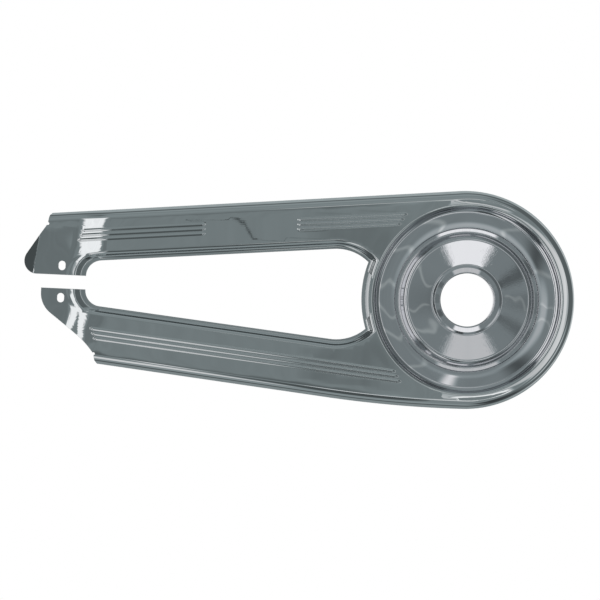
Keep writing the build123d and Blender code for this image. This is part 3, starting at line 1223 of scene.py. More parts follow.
@dataclass
class PressedGuard:
    """The whole guard as one fine mesh."""

    levels: Levels = Levels()
    spacing: Spacing = Spacing()
    disc_margin: float = 4.8
    edge_turns: tuple[float, ...] = (30.0, 60.0, 90.0)
    longest_mitre: float = 1.4
    join_gap: float = 2e-3
    rim_slack: float = 1e-3
    disc_slack: float = 0.02
    rim: Rim = field(init=False)
    tail: Tail = field(init=False)
    window: Window = field(init=False)
    disc: Disc = field(init=False)
    relief: Relief = field(init=False)
    ribs: list[Rib] = field(init=False)

    def __post_init__(self) -> None:
        """Sets out the parts of the pressing."""
        self.rim = Rim(self.levels)
        self.tail = Tail(self.levels)
        self.window = Window(self.levels, self.rim)
        recess = self.rim.flat_radius - self.disc_margin
        self.disc = Disc(self.levels, (recess + self.window.wall_top) / 2, recess)
        self.relief = Relief(self.rim, recess)
        self.ribs = RibGroups(self.window, self.tail).build()

    def face(self, x: Array, y: Array) -> Array:
        """Level of the face with its relief."""
        return self.tail.level(x, y) + self.relief.height(x, y)

    def level(self, x: Array, y: Array) -> Array:
        """Level of the front of the guard outside the disc.

        Args:
            x: Places of the points.
            y: Heights of the points.

        Returns:
            Levels.
        """
        face = self.face(x, y)
        rim = self.rim.level(self.rim.distance(x, y), face) - face
        well = self.window.level(x, y, face) - face
        bump = sum(rib.bump(x, y) for rib in self.ribs)
        return face + rim + well + bump

    def normals(self, x: Array, y: Array) -> Array:
        """Normals of the front of the guard outside the disc.

        Args:
            x: Places of the points.
            y: Heights of the points.

        Returns:
            Unit normals.
        """
        along, up = slopes(self.level, x, y)
        normals = np.stack([-along, -up, np.ones(x.shape)], axis=1)
        return normals / np.linalg.norm(normals, axis=1)[:, None]

    def draw_rim(self, plan: Plan) -> None:
        """Draws the rings of points along the rim.

        Args:
            plan: Drawing to add to.
        """
        rows = self.rim.stations()
        spots = rows[:, :2] + rows[:, 2:] * self.spacing.face_probe
        for ring in self.rim.rings(self.face(spots[:, 0], spots[:, 1])):
            plan.add(rows[:, :2] + rows[:, 2:] * ring[:, None])

    def draw_window(self, plan: Plan) -> None:
        """Draws the rings of points along the joggle and the window's edge.

        Args:
            plan: Drawing to add to.
        """
        window = self.window
        trim = self.levels.edge_round
        least = self.disc.border + self.spacing.ring_off_disc
        pairs = [(trim, trim), window.edge_growth]
        pairs += [window.growth(height) for height in window.heights]
        for i, pair in enumerate(pairs):
            ring = window.ring(*pair)
            x, y = ring[:, 0], ring[:, 1]
            lapped = window.disc_wall(x, y) < window.arm_wall(x, y) + window.mitre_lap
            plan.add(ring, True, (np.hypot(x, y) > least) & (lapped if i else True))
        sweep = circle(np.linspace(*window.disc_sweep, window.disc_count))
        fall = tan(window.side_slope)
        radii = [window.disc_radius - trim, window.disc_radius - window.disc_edge]
        radii += [window.wall_top + (window.drop - h) / fall for h in window.heights]
        for i, radius in enumerate(radii):
            if radius < least:
                continue
            ring = radius * sweep
            x, y = ring[:, 0], ring[:, 1]
            top = window.disc_wall(x, y) + window.mitre_lap if i else window.disc_reach
            plan.add(ring, False, window.arm_wall(x, y) < top)

    def draw_faces(self, plan: Plan) -> None:
        """Draws loose points over the faces, closer over the step and the tip.

        Args:
            plan: Drawing to add to.
        """
        space, tail = self.spacing, self.tail
        x, y = np.meshgrid(
            np.arange(*space.reach_x, space.step), np.arange(*space.reach_y, space.step)
        )
        x = (x + np.where(np.arange(x.shape[0]) % 2, space.step / 2, 0.0)[:, None]).ravel()
        y = y.ravel()
        ahead = tail.ahead(x, y)
        coarse = ~((ahead < space.fine_ahead[1]) & (ahead > space.fine_ahead[0]))
        fine_ahead, fine_run = np.meshgrid(
            np.arange(*space.fine_ahead, space.fine_step),
            np.arange(*space.fine_run, space.fine_run_step),
        )
        fine = tail.spots(fine_ahead.ravel(), fine_run.ravel())
        for ahead in (tail.tip - space.fold_gap, tail.tip + space.fold_gap):
            plan.add(tail.spots(ahead, np.arange(*space.fold_run)))
        x = np.concatenate([x[coarse], fine[:, 0]])
        y = np.concatenate([y[coarse], fine[:, 1]])
        flat_end, _ = self.rim.bend_ends(self.face(x, y))
        flat = self.rim.distance(x, y) > flat_end + space.off_rim
        clear = np.minimum.reduce([rib.spread(x, y) for rib in self.ribs]) > space.off_rib
        wall = np.maximum(self.window.arm_wall(x, y), self.window.disc_wall(x, y))
        outside = np.hypot(x, y) > self.disc.border + space.off_disc
        keep = flat & clear & (wall > space.off_joggle) & outside
        plan.scatter(np.stack([x[keep], y[keep]], axis=1))

    def disc_grid(self) -> tuple[Array, Array]:
        """Rings of the disc, with the relief of the border added.

        Returns:
            Points and normals.
        """
        spots, normals = self.disc.grid()
        x, y = spots[..., 0], spots[..., 1]
        along, up = slopes(self.relief.height, x, y)
        spots[..., 2] += self.relief.height(x, y)
        normals[..., 0] -= normals[..., 2] * along
        normals[..., 1] -= normals[..., 2] * up
        return spots, normals / np.linalg.norm(normals, axis=-1)[..., None]

    def front(self) -> tuple[Array, Array, Array]:
        """Front skin of the guard.

        Returns:
            Points, normals and triangles.
        """
        plan = Plan()
        self.draw_rim(plan)
        self.draw_window(plan)
        self.draw_faces(plan)
        for rib in self.ribs:
            plan.scatter(rib.pips())
            for loop in rib.rings():
                plan.add(loop, True)
        trim = self.levels.edge_round
        loops = [self.tail.waste(self.rim), *self.tail.holes(self.rim)]
        loops = [grown(loop, trim) for loop in loops]
        for loop in loops:
            plan.add(loop, True)
        disc, disc_normals = self.disc_grid()
        plan.add(disc[0, :, :2], True)
        points, tris = plan.triangles()
        tris = tris[self.kept(points[tris].mean(axis=1), loops)]
        used = np.unique(tris)
        index = np.full(len(points), -1)
        index[used] = np.arange(len(used))
        points = points[used]
        x, y = points[:, 0], points[:, 1]
        spots = np.concatenate([points, self.level(x, y)[:, None]], axis=1)
        return self.join_disc(spots, self.normals(x, y), index[tris], disc, disc_normals)

    def kept(self, middles: Array, loops: list[Array]) -> Array:
        """Tells which triangles are part of the sheet outside the disc.

        Args:
            middles: Middles of the triangles.
            loops: Loops of what is cut away.

        Returns:
            A flag for each triangle.
        """
        x, y = middles[:, 0], middles[:, 1]
        radius = np.hypot(x, y)
        trim, window = self.levels.edge_round, self.window
        keep = self.rim.distance(x, y) > self.rim.first_ring - self.rim_slack
        keep &= radius > self.disc.border - self.disc_slack
        keep &= (window.distance(x, y, trim, trim) >= 0) | (radius <= window.disc_radius - trim)
        for loop in loops:
            keep &= ~inside(loop, x, y)
        return keep

    def join_disc(
        self, spots: Array, normals: Array, tris: Array, disc: Array, disc_normals: Array
    ) -> tuple[Array, Array, Array]:
        """Joins the rings of the disc to the rest of the front.

        Args:
            spots: Points outside the disc.
            normals: Their normals.
            tris: Their triangles.
            disc: Rings of points of the disc.
            disc_normals: Their normals.

        Returns:
            Points, normals and triangles of the whole front.
        """
        rings, stations = disc.shape[:2]
        radius = np.hypot(spots[:, 0], spots[:, 1])
        near = np.nonzero(np.abs(radius - self.disc.border) < self.join_gap)[0]
        swing = np.degrees(np.arctan2(spots[near, 1], spots[near, 0]))
        station = np.round(swing * stations / 360.0).astype(int) % stations
        shared = np.full(stations, -1)
        shared[station] = near
        spots[near] = disc[0][station]
        normals[near] = disc_normals[0][station]
        index = np.arange((rings - 1) * stations).reshape(rings - 1, stations) + len(spots)
        index = np.concatenate([shared[None, :], index])
        turned = np.roll(index, -1, axis=1)
        a, b, c, d = index[:-1], turned[:-1], turned[1:], index[1:]
        halves = [np.stack(half, axis=-1).reshape(-1, 3) for half in ((a, b, c), (a, c, d))]
        spots = np.concatenate([spots, disc[1:].reshape(-1, 3)])
        normals = np.concatenate([normals, disc_normals[1:].reshape(-1, 3)])
        return spots, normals, np.concatenate([tris, *halves])

    def rounded_edge(
        self, spots: Array, normals: Array, tris: Array
    ) -> tuple[Array, Array, Array]:
        """Rounded edge of the sheet between its front and its back.

        Args:
            spots: Points of the front.
            normals: Their normals.
            tris: Triangles of the front.

        Returns:
            New points, their normals, and quads over front, back and new points.
        """
        size = len(spots)
        heads, tails = tris.ravel(), np.roll(tris, -1, axis=1).ravel()
        there = set((heads * size + tails).tolist())
        pairs = zip(heads.tolist(), tails.tolist())
        rim = np.array([(h, t) for h, t in pairs if t * size + h not in there])
        way = spots[rim[:, 1]] - spots[rim[:, 0]]
        way /= np.linalg.norm(way, axis=1)[:, None]
        total = np.zeros_like(spots)
        np.add.at(total, rim[:, 0], way)
        np.add.at(total, rim[:, 1], way)
        verts = np.unique(rim)
        length = np.maximum(np.linalg.norm(total[verts], axis=1), TINY)
        up = normals[verts]
        out = np.cross(total[verts] / length[:, None], up)
        out /= np.linalg.norm(out, axis=1)[:, None]
        mitre = np.clip(2.0 / length, 1.0, self.longest_mitre)[:, None]
        radius = self.levels.edge_round
        turns = [(angle, 1.0) for angle in self.edge_turns]
        turns += [(angle, -1.0) for angle in reversed(self.edge_turns)]
        where = np.full(size, -1)
        where[verts] = np.arange(len(verts))
        new_spots: list[Array] = []
        new_normals: list[Array] = []
        bands = [rim]
        for angle, side in turns:
            depth = radius * (1.0 - cos(angle))
            depth = depth if side > 0.0 else self.levels.sheet - depth
            bands.append(2 * size + len(new_spots) * len(verts) + where[rim])
            new_spots.append(spots[verts] + out * mitre * (radius * sin(angle)) - up * depth)
            new_normals.append(up * (side * cos(angle)) + out * sin(angle))
        bands.append(rim + size)
        quads = [
            np.stack([b[:, 0], b[:, 1], a[:, 1], a[:, 0]], axis=1)
            for a, b in zip(bands, bands[1:])
        ]
        return np.concatenate(new_spots), np.concatenate(new_normals), np.concatenate(quads)

    def build(self) -> bpy.types.Object:
        """Builds the mesh object.

        Returns:
            The guard.
        """
        spots, normals, tris = self.front()
        edge, edge_normals, quads = self.rounded_edge(spots, normals, tris)
        all_spots = np.concatenate([spots, spots - normals * self.levels.sheet, edge])
        all_normals = np.concatenate([normals, -normals, edge_normals])
        faces = tris.tolist() + (tris[:, ::-1] + len(spots)).tolist() + quads.tolist()
        mesh = bpy.data.meshes.new("chain_guard_sheet")
        mesh.from_pydata((stood(all_spots) * MILLIMETRE).tolist(), [], faces)
        mesh.polygons.foreach_set("use_smooth", [True] * len(mesh.polygons))
        mesh.update()
        mesh.normals_split_custom_set_from_vertices(stood(all_normals).tolist())
        guard = bpy.data.objects.new("chain_guard_sheet", mesh)
        bpy.context.scene.collection.objects.link(guard)
        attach(guard, "root")
        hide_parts("chain_guard")
        LOG.info("guard: %d points, %d faces", len(all_spots), len(faces))
        return guard


class Sock:
    """Output of a shader node that takes part in plain arithmetic."""

    def __init__(self, sheet: Sheet, socket: bpy.types.NodeSocket) -> None:
        """Wraps an output socket of a node tree."""
        self.sheet = sheet
        self.socket = socket

    def __add__(self, other: Value) -> Sock:
        """Sum."""
        return self.sheet.maths("ADD", self, other)

    def __radd__(self, other: Value) -> Sock:
        """Sum with a number on the left."""
        return self.sheet.maths("ADD", other, self)

    def __sub__(self, other: Value) -> Sock:
        """Difference."""
        return self.sheet.maths("SUBTRACT", self, other)

    def __rsub__(self, other: Value) -> Sock:
        """Difference from a number on the left."""
        return self.sheet.maths("SUBTRACT", other, self)

    def __mul__(self, other: Value) -> Sock:
        """Product."""
        return self.sheet.maths("MULTIPLY", self, other)

    def __rmul__(self, other: Value) -> Sock:
        """Product with a number on the left."""
        return self.sheet.maths("MULTIPLY", other, self)

    def __truediv__(self, other: Value) -> Sock:
        """Quotient."""
        return self.sheet.maths("DIVIDE", self, other)

    def __rtruediv__(self, other: Value) -> Sock:
        """Quotient with a number on the left."""
        return self.sheet.maths("DIVIDE", other, self)

    def __pow__(self, other: Value) -> Sock:
        """Power."""
        return self.sheet.maths("POWER", self, other)

    def __rpow__(self, other: Value) -> Sock:
        """Power of a number on the left."""
        return self.sheet.maths("POWER", other, self)

    def __neg__(self) -> Sock:
        """Negative."""
        return self.sheet.maths("MULTIPLY", self, -1.0)


Value = Union[Sock, float]


@dataclass(frozen=True)
class Fold:
    """Light fold at an angle in degrees, with its half width and its strength: a fold of the
    studio's light, or a streak of painted reflection in the chrome's colour.
    """

    angle: float
    width: float
    level: float


class Sheet:
    """Node tree of a material or of the world."""

    def __init__(self, tree: bpy.types.NodeTree) -> None:
        """Empties the tree to be filled."""
        self.tree = tree
        tree.nodes.clear()

    def node(
        self, kind: str, settings: dict | None = None, inputs: dict | None = None
    ) -> bpy.types.Node:
        """Adds a node.

        Args:
            kind: Type name of the node.
            settings: Settings of the node, made first, with a ramp's stops among them.
            inputs: Values, colours or sockets for its inputs, by name or number.

        Returns:
            The node.
        """
        node = self.tree.nodes.new(kind)
        for name, value in (settings or {}).items():
            if name == "stops":
                self.set_stops(node.color_ramp, value)
            else:
                setattr(node, name, value)
        for name, value in (inputs or {}).items():
            if isinstance(value, Sock):
                self.tree.links.new(value.socket, node.inputs[name])
                continue
            value = (*value, 1.0) if isinstance(value, tuple) else value
            node.inputs[name].default_value = value
        return node

    def set_stops(self, ramp: bpy.types.ColorRamp, stops: list[Pair]) -> None:
        """Sets a gray ramp with easy runs between its stops.

        Args:
            ramp: Ramp to be set, still with its first two stops.
            stops: Places and levels from one end to the other.
        """
        ramp.interpolation = "EASE"
        first, *middle, last = stops
        for element, (place, level) in zip(ramp.elements, (first, last)):
            element.position = place
            element.color = (level, level, level, 1.0)
        for place, level in middle:
            ramp.elements.new(place).color = (level, level, level, 1.0)

    def out(
        self, kind: str, output: str | int, settings: dict | None = None, inputs: dict | None = None
    ) -> Sock:
        """Adds a node as node() does and takes one of its outputs."""
        return Sock(self, self.node(kind, settings, inputs).outputs[output])

    def maths(self, operation: str, *values: Value) -> Sock:
        """Arithmetic on numbers, by the name of the operation."""
        return self.out("ShaderNodeMath", 0, {"operation": operation}, dict(enumerate(values)))

    def length(self, across: Sock, up: Sock) -> Sock:
        """Length of two values at right angles."""
        return self.maths("SQRT", across * across + up * up)

    def ramp(
        self, value: Value, low: float, high: float, start: float = 0.0, end: float = 1.0
    ) -> Sock:
        """Smooth step of a value.

        Args:
            value: Value to be eased.
            low: Value that gives the start.
            high: Value that gives the end.
            start: Result at low.
            end: Result at high.

        Returns:
            The eased value.
        """
        settings = {"interpolation_type": "SMOOTHSTEP"}
        inputs = {
            "Value": value, "From Min": low, "From Max": high, "To Min": start, "To Max": end,
        }
        return self.out("ShaderNodeMapRange", "Result", settings, inputs)

    def band(self, value: Value, low: float, high: float, soft: float) -> Sock:
        """Share that is 1 from low to high and falls to 0 outside, over soft edges."""
        rise = self.ramp(value, low - soft, low + soft)
        return rise * self.ramp(value, high - soft, high + soft, 1.0, 0.0)

    def folds(self, degrees: Sock, folds: tuple[Fold, ...]) -> Sock:
        """Light of a row of folds round a full turn.

        Args:
            degrees: Angle from 0 to 360, where a fold's angle starts at -180.
            folds: Folds in order of their angle.

        Returns:
            The light.
        """
        rest = max(0.0, -min(fold.level for fold in folds))
        stops = [(0.0, rest)]
        for fold in folds:
            for shift, level in ((-fold.width, 0.0), (0.0, fold.level), (fold.width, 0.0)):
                stops.append(((fold.angle + shift + 180.0) / 360.0, rest + level))
        stops.append((1.0, rest))
        inputs = {0: degrees / 360.0}
        return self.out("ShaderNodeValToRGB", 0, {"stops": stops}, inputs) - rest

    def mix(self, factor: Value, first: Sock | Triple, second: Sock | Triple) -> Sock:
        """Mix of two colours by the share of the second."""
        inputs = {0: factor, 6: first, 7: second}
        return self.out("ShaderNodeMix", 2, {"data_type": "RGBA"}, inputs)

    def noise(self, vector: Sock, scale: float, detail: float, roughness: float) -> Sock:
        """Cloudy noise from 0 to 1, by its scale and the number and strength of finer layers."""
        inputs = {"Vector": vector, "Scale": scale, "Detail": detail, "Roughness": roughness}
        return self.out("ShaderNodeTexNoise", 0, None, inputs)

    def vector(self, x: Value, y: Value, z: Value) -> Sock:
        """Vector of three values."""
        return self.out("ShaderNodeCombineXYZ", 0, None, {0: x, 1: y, 2: z})

    def parts(self, vector: Sock) -> list[Sock]:
        """Three values of a vector."""
        node = self.node("ShaderNodeSeparateXYZ", None, {0: vector})
        return [Sock(self, output) for output in node.outputs]


@dataclass(frozen=True)
class Grain:
    """Stretched noise: its scale along three ways, and its number and strength of layers."""

    scale: Triple
    detail: float
    roughness: float

    def lay(self, sheet: Sheet, x: Value, y: Value, z: Value) -> Sock:
        """Noise over three values."""
        place = sheet.vector(*(v * scale for v, scale in zip((x, y, z), self.scale)))
        return sheet.noise(place, 1.0, self.detail, self.roughness)


@dataclass(frozen=True)
class ChromeFinish:
    """Bright chrome over polished steel, with light wavy streaks of painted reflection in its
    colour.

    Places on the disc are distances from the crank's axis in metres: the two ends of a soft edge,
    or the ends of a band and the softness of both.
    """

    colour: Triple = (0.595, 0.615, 0.625)
    cool: Triple = (0.585, 0.59, 0.615)
    cool_share: float = 0.85
    # light colour of the painted reflection streaks
    painted_highlight_colour: Triple = (1.0, 0.97, 0.98)
    roughness: float = 0.01
    smudge: float = 0.01
    smudge_cloud: Triple = (45.0, 4.0, 0.6)
    brush: float = 0.00006
    brush_grain: Grain = Grain((60.0, 400.0, 900.0), 3.0, 0.6)
    brush_height: float = 0.014
    brush_rough: float = 0.004
    ray_grain: Grain = Grain((60.0, 90.0, 20.0), 3.0, 0.65)
    ray_height: float = 0.3
    disc_edge: Pair = (0.0745, 0.0755)
    dish: Triple = (0.0305, 0.0475, 0.002)
    annulus: Triple = (0.0588, 0.0708, 0.0008)
    front_edge: Pair = (-0.4, -0.1)
    wobble: Grain = Grain((75.0, 1.4, 1.0), 0.4, 0.5)
    annulus_wobble: float = 34.0
    dish_wobble: float = 48.0
    # angles, half widths and strengths of the painted reflection streaks on the annulus
    annulus_painted_reflections: tuple[Fold, ...] = (
        Fold(-171.0, 2.9, 0.74),
        Fold(-151.0, 3.2, 0.81),
        Fold(-125.0, 3.5, 0.68),
        Fold(-18.0, 2.2, 0.54),
        Fold(-4.0, 1.9, 0.54),
        Fold(24.0, 3.2, 0.68),
        Fold(60.0, 3.8, 0.68),
        Fold(116.0, 4.2, 0.90),
        Fold(141.0, 3.5, 0.74),
        Fold(171.0, 2.9, 0.81),
    )
    # angles, half widths and strengths of the painted reflection streaks on the dish
    dish_painted_reflections: tuple[Fold, ...] = (
        Fold(-170.0, 4.2, 0.8),
        Fold(-140.0, 4.8, 0.8),
        Fold(2.0, 2.6, 0.7),
        Fold(153.0, 4.6, 0.8),
    )

    def painted_reflections(self, sheet: Sheet, radius: Sock, swing: Sock, dish: Sock) -> Sock:
        """Share of the painted reflections: light wavy streaks that run out across the disc.

        Args:
            sheet: Node tree of the chrome.
            radius: Distance from the crank's axis.
            swing: Angle about the axis.
            dish: Share of the dish.

        Returns:
            The share.
        """
        turn = sheet.maths("DEGREES", swing) + 180.0
        wobble = self.wobble.lay(sheet, radius, swing, 0.0) - 0.5
        annulus = sheet.band(radius, *self.annulus)
        near = sheet.folds(turn + wobble * self.annulus_wobble, self.annulus_painted_reflections)
        far = sheet.folds(turn + wobble * self.dish_wobble, self.dish_painted_reflections)
        return near * annulus + far * dish

    def dress(self, guard: bpy.types.Object) -> None:
        """Makes the material and puts it on the guard.

        Args:
            guard: Piece to be dressed.
        """
        material = bpy.data.materials.new("chrome")
        material.use_nodes = True
        sheet = Sheet(material.node_tree)
        place = sheet.out("ShaderNodeTexCoord", "Object")
        x, y, z = sheet.parts(place)
        radius = sheet.length(x, z)
        swing = sheet.maths("ARCTAN2", z, x)
        disc = sheet.ramp(radius, *self.disc_edge, 1.0, 0.0)
        dish = sheet.band(radius, *self.dish)
        cloud = sheet.noise(place, *self.smudge_cloud)
        fine = self.brush_grain.lay(sheet, x, y, z)
        rays = self.ray_grain.lay(sheet, swing, radius, y)
        rough = self.roughness + cloud * self.smudge + fine * self.brush_rough
        height = fine * self.brush_height * (1.0 - disc) + rays * self.ray_height * dish
        inputs = {"Strength": 1.0, "Distance": self.brush, "Height": height}
        normal = sheet.out("ShaderNodeBump", 0, None, inputs)
        tint = sheet.mix(disc * self.cool_share, self.colour, self.cool)
        facing = sheet.parts(sheet.out("ShaderNodeNewGeometry", "Normal"))[1]
        front = sheet.ramp(facing, *self.front_edge, 1.0, 0.0)
        # painted reflections: light wavy streaks mixed into the base colour, on faces towards the
        # front
        tint = sheet.mix(self.painted_reflections(sheet, radius, swing, dish) * front, tint, self.painted_highlight_colour)
        shader = sheet.out("ShaderNodeBsdfPrincipled", 0, None, {
            "Base Color": tint, "Metallic": 1.0, "Roughness": rough, "Normal": normal,
        })
        sheet.node("ShaderNodeOutputMaterial", None, {"Surface": shader})
        guard.data.materials.append(material)


@dataclass(frozen=True)
class Softbox:
    """Soft light seen from the object, by angles right of and above the camera."""

    left: float
    right: float
    low: float
    high: float
    soft: float
    level: float


@dataclass(frozen=True)
class Seam:
    """Thin dark edge of the paper above the camera, set out in degrees as the studio is."""

    depth: float = 0.75
    swings: tuple[Pair, ...] = ((9.0, 0.05), (23.0, 0.03))
    swing_reach: Triple = (-3.3, -1.6, 0.3)
    run: Row = (-3.7, -1.7, 3.78, 2.5)
    width: Pair = (0.02, 0.09)
    reach: Triple = (-5.6, 0.8, 0.8)

    def share(self, sheet: Sheet, across: Sock, above: Sock) -> Sock:
        """Share of the edge.

        Args:
            sheet: Node tree of the world.
            across: Angle right of the camera.
            above: Angle above the camera.

        Returns:
            The share.
        """
        wide, narrow = (sheet.maths("SINE", across * pace) * size for pace, size in self.swings)
        sway = (wide + narrow) * sheet.band(across, *self.swing_reach)
        run = sheet.ramp(across, *self.run) + sway
        gap = sheet.maths("ABSOLUTE", above - run)
        return sheet.ramp(gap, *self.width, 1.0, 0.0) * sheet.band(across, *self.reach)


@dataclass(frozen=True)
class Studio:
    """Plain pale floor and white surround, with soft boxes and gray cards about the camera.

    Lights are set out by angles in degrees right of and above the camera. Three values are the
    ends of a band and the softness of both, and four are the ends of a ramp and its results there.
    """

    gray: float = 0.31
    shade: Triple = (0.87, 1.0, 1.02)
    shade_end: Pair = (0.35, 0.9)
    axis: float = 7.6  # of the disc, as the chrome shows it
    behind: Pair = (-0.1, 0.3)  # from beside the guard to behind it
    behind_rise: Row = (-30.0, 30.0, 0.0, 0.14)
    backdrop: Pair = (0.93, 0.97)
    tear: Grain = Grain((0.9, 0.06, 3.0), 2.0, 0.55)
    tear_across: Triple = (-39.0, -16.0, 3.0)
    tear_above: Triple = (-7.0, 8.0, 1.5)
    tear_reach: float = 14.0
    streak: Grain = Grain((1.5, 0.12, 1.0), 3.0, 0.6)
    streak_low: float = 0.86
    streak_gain: float = 0.28
    ring_level: Row = (17.0, 25.0, 0.75, 1.05)
    ring_wide: float = 18.4
    ring_tall: float = 17.6
    ring_side: Pair = (-7.0, 3.0)
    ring_inner: Pair = (7.5, 10.0)
    ring_outer: Pair = (0.93, 1.05)
    arc: Triple = (18.8, 23.6, 0.5)
    arc_lights: tuple[Row, ...] = (  # ends and softness of each, and its level
        (66.0, 119.0, 3.0, 0.8),
        (-113.0, -61.0, 3.0, 1.3),
    )
    shades: tuple[Fold, ...] = (
        Fold(-102.0, 8.0, 0.8),
        Fold(-45.0, 18.0, -0.19),
        Fold(41.0, 16.0, -0.18),
    )
    shade_reach: Triple = (0.9, 4.25, 0.15)
    seam: Seam = Seam()
    floor_level: float = -0.62
    floor_size: float = 1.6
    floor_x: float = -0.13
    floor_colour: Triple = (0.8, 0.8, 0.8)
    boxes: tuple[Softbox, ...] = (
        Softbox(-200.0, 200.0, 31.0, 62.0, 4.0, 0.37),
        Softbox(-200.0, 200.0, -70.0, -36.0, 4.0, 0.33),
        Softbox(100.0, 200.0, 42.0, 76.0, 6.0, 0.17),
        Softbox(-200.0, -100.0, 42.0, 76.0, 6.0, 0.17),
        Softbox(100.0, 200.0, -76.0, -42.0, 6.0, 0.13),
        Softbox(-200.0, -100.0, -76.0, -42.0, 6.0, 0.13),
        Softbox(-14.0, 4.0, 8.0, 12.0, 1.0, 0.2),
        Softbox(-14.0, 3.5, -12.0, -7.5, 1.0, 0.16),
        Softbox(30.0, 110.0, -60.0, 60.0, 4.0, 0.17),
        Softbox(32.0, 125.0, -76.0, -50.0, 4.0, 0.07),
        Softbox(-110.0, -38.0, -60.0, 60.0, 2.0, 0.10),
        Softbox(-150.0, -100.0, -30.0, 30.0, 5.0, 0.85),
        Softbox(-200.0, 200.0, 72.0, 90.0, 6.0, 0.42),
        Softbox(-200.0, 200.0, -90.0, -72.0, 6.0, 0.42),
        Softbox(-8.0, 7.0, -64.0, -28.0, 3.0, 0.11),
        Softbox(42.0, 60.0, -36.0, -9.0, 6.0, 0.7),
        Softbox(100.0, 116.0, -60.0, 60.0, 5.0, 0.18),
        Softbox(128.0, 152.0, -40.0, 40.0, 9.0, 0.75),
        Softbox(-38.0, -11.0, -66.0, -40.0, 3.0, 0.95),
        Softbox(-28.0, -17.6, -25.0, 25.0, 1.6, 1.35),
        Softbox(-14.5, -9.6, -2.8, 3.6, 0.6, 0.245),
        Softbox(-10.2, -7.2, -28.0, -17.5, 0.7, 1.0),
        Softbox(-72.0, -43.0, -40.0, 40.0, 2.0, 1.1),
        Softbox(0.5, 4.0, 1.6, 4.4, 1.0, 0.24),
        Softbox(0.5, 4.0, -4.4, -1.6, 1.0, 0.24),
        Softbox(8.1, 9.9, -0.7, 0.7, 0.5, 0.62),
        Softbox(6.8, 8.4, 0.5, 1.8, 0.5, 0.6),
        Softbox(6.8, 8.4, -1.3, -0.5, 0.4, 0.42),
    )

    def build(self) -> None:
        """Builds the world and the floor."""
        self.build_world()
        self.build_floor()

    def build_world(self) -> None:
        """White for the camera and straight behind, and soft boxes on gray for the chrome."""
        world = bpy.data.worlds.new("studio")
        world.use_nodes = True
        bpy.context.scene.world = world
        sheet = Sheet(world.node_tree)
        x, y, z = sheet.parts(sheet.out("ShaderNodeTexCoord", "Generated"))
        across = sheet.maths("DEGREES", sheet.maths("ARCTAN2", x, -y))
        above = sheet.maths("DEGREES", sheet.maths("ARCSINE", z))
        behind = sheet.ramp(y, *self.behind)
        level = self.gray + behind * sheet.ramp(above, *self.behind_rise)
        tear = self.tear.lay(sheet, above, across, 1.0) - 0.5
        torn = sheet.band(across, *self.tear_across) * sheet.band(above, *self.tear_above)
        ragged = across + tear * torn * self.tear_reach
        for box in self.boxes:
            share = sheet.band(ragged, box.left, box.right, box.soft)
            share = share * sheet.band(above, box.low, box.high, box.soft)
            level = level + share * (box.level - level)
        light = sheet.ramp(across, *self.ring_level)
        level = level + self.ring(sheet, across, above) * (light - level)
        level = self.arcs(sheet, across, above, level)
        level = level * (1.0 - self.seam.share(sheet, across, above) * self.seam.depth)
        streak = self.streak.lay(sheet, across, above, 0.0)
        level = level * (self.streak_low + self.streak_gain * streak)
        level = sheet.maths("MAXIMUM", level, sheet.ramp(y, *self.backdrop))
        camera = sheet.out("ShaderNodeLightPath", "Is Camera Ray")
        level = sheet.maths("MAXIMUM", level, camera)
        colour = sheet.mix(sheet.ramp(level, *self.shade_end), self.shade, WHITE)
        shader = sheet.out("ShaderNodeBackground", 0, None, {"Color": colour, "Strength": level})
        sheet.node("ShaderNodeOutputWorld", None, {"Surface": shader})

    def ring(self, sheet: Sheet, across: Sock, above: Sock) -> Sock:
        """Share of the curved light on the right of the camera.

        Args:
            sheet: Node tree of the world.
            across: Angle right of the camera.
            above: Angle above the camera.

        Returns:
            The share.
        """
        off = across - self.axis
        inner = sheet.ramp(sheet.length(off, above), *self.ring_inner)
        outer = sheet.length(off / self.ring_wide, above / self.ring_tall)
        side = sheet.ramp(off, *self.ring_side)
        return inner * sheet.ramp(outer, *self.ring_outer, 1.0, 0.0) * side

    def arcs(self, sheet: Sheet, across: Sock, above: Sock, level: Sock) -> Sock:
        """Adds curved lights over and under the camera and broad shades about the disc's axis.

        Args:
            sheet: Node tree of the world.
            across: Angle right of the camera.
            above: Angle above the camera.
            level: Light so far.

        Returns:
            The light with them.
        """
        off = across - self.axis
        far = sheet.length(off, above)
        swing = sheet.maths("DEGREES", sheet.maths("ARCTAN2", above, off))
        band = sheet.band(far, *self.arc)
        for *reach, light in self.arc_lights:
            level = level + band * sheet.band(swing, *reach) * (light - level)
        return level + sheet.folds(swing + 180.0, self.shades) * sheet.band(far, *self.shade_reach)

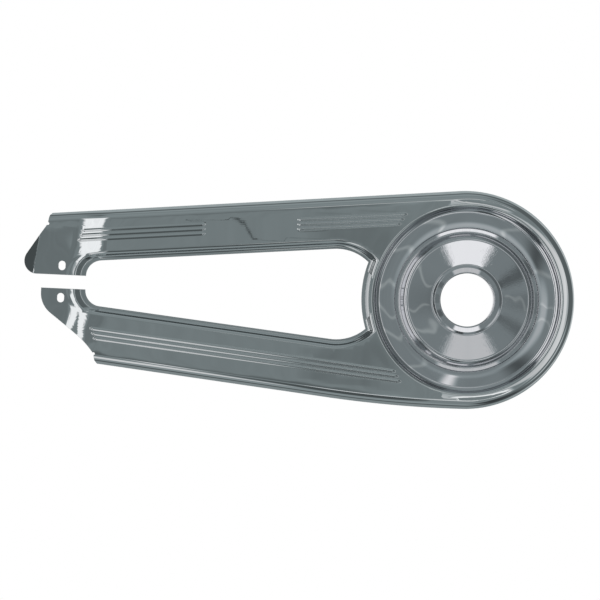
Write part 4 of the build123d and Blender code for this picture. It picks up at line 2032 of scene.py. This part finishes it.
    def build_floor(self) -> None:
        """Pale floor: white to the camera, plain pale diffuse to other light, and not seen in the
        chrome.
        """
        half = self.floor_size / 2
        ways = ((-1, -1), (1, -1), (1, 1), (-1, 1))
        corners = [(self.floor_x + a * half, b * half, self.floor_level) for a, b in ways]
        mesh = bpy.data.meshes.new("floor")
        mesh.from_pydata(corners, [], [(0, 1, 2, 3)])
        floor = bpy.data.objects.new("floor", mesh)
        bpy.context.scene.collection.objects.link(floor)
        material = bpy.data.materials.new("pale_floor")
        material.use_nodes = True
        sheet = Sheet(material.node_tree)
        path = sheet.node("ShaderNodeLightPath").outputs
        camera, glossy, through = (
            Sock(sheet, path[f"Is {name} Ray"]) for name in ("Camera", "Glossy", "Transmission")
        )
        white = sheet.out("ShaderNodeEmission", 0, None, {"Color": WHITE, "Strength": 1.0})
        pale = sheet.out("ShaderNodeBsdfDiffuse", 0, None, {"Color": self.floor_colour})
        shown = sheet.maths("MAXIMUM", camera, through)
        shader = sheet.out("ShaderNodeMixShader", 0, None, {0: shown, 1: pale, 2: white})
        clear = sheet.out("ShaderNodeBsdfTransparent", 0)
        shader = sheet.out("ShaderNodeMixShader", 0, None, {0: glossy, 1: shader, 2: clear})
        sheet.node("ShaderNodeOutputMaterial", None, {"Surface": shader})
        mesh.materials.append(material)


@dataclass(frozen=True)
class PhotoCamera:
    """Camera at the photograph's viewing angle."""

    place: Triple = (-0.1339, -1.003, -0.0061)
    roll: float = 2.599
    lens: float = 75.0
    sensor: float = 36.0

    def build(self) -> None:
        """Places the camera."""
        data = bpy.data.cameras.new("photo_camera")
        data.lens = self.lens
        data.sensor_width = self.sensor
        data.sensor_fit = "HORIZONTAL"
        camera = bpy.data.objects.new("photo_camera", data)
        right = Vector((cos(self.roll), 0.0, sin(self.roll)))
        up = Vector((-sin(self.roll), 0.0, cos(self.roll)))
        turned = Matrix((right, up, right.cross(up))).transposed().to_4x4()
        camera.matrix_world = Matrix.Translation(self.place) @ turned
        bpy.context.scene.collection.objects.link(camera)
        bpy.context.scene.camera = camera
        bpy.context.scene.view_settings.view_transform = "Standard"


def main() -> None:
    """Builds the guard, its finish, the studio and the camera."""
    logging.basicConfig(level=logging.INFO)
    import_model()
    guard = PressedGuard().build()
    ChromeFinish().dress(guard)
    Studio().build()
    PhotoCamera().build()


if __name__ == "__main__":
    main()
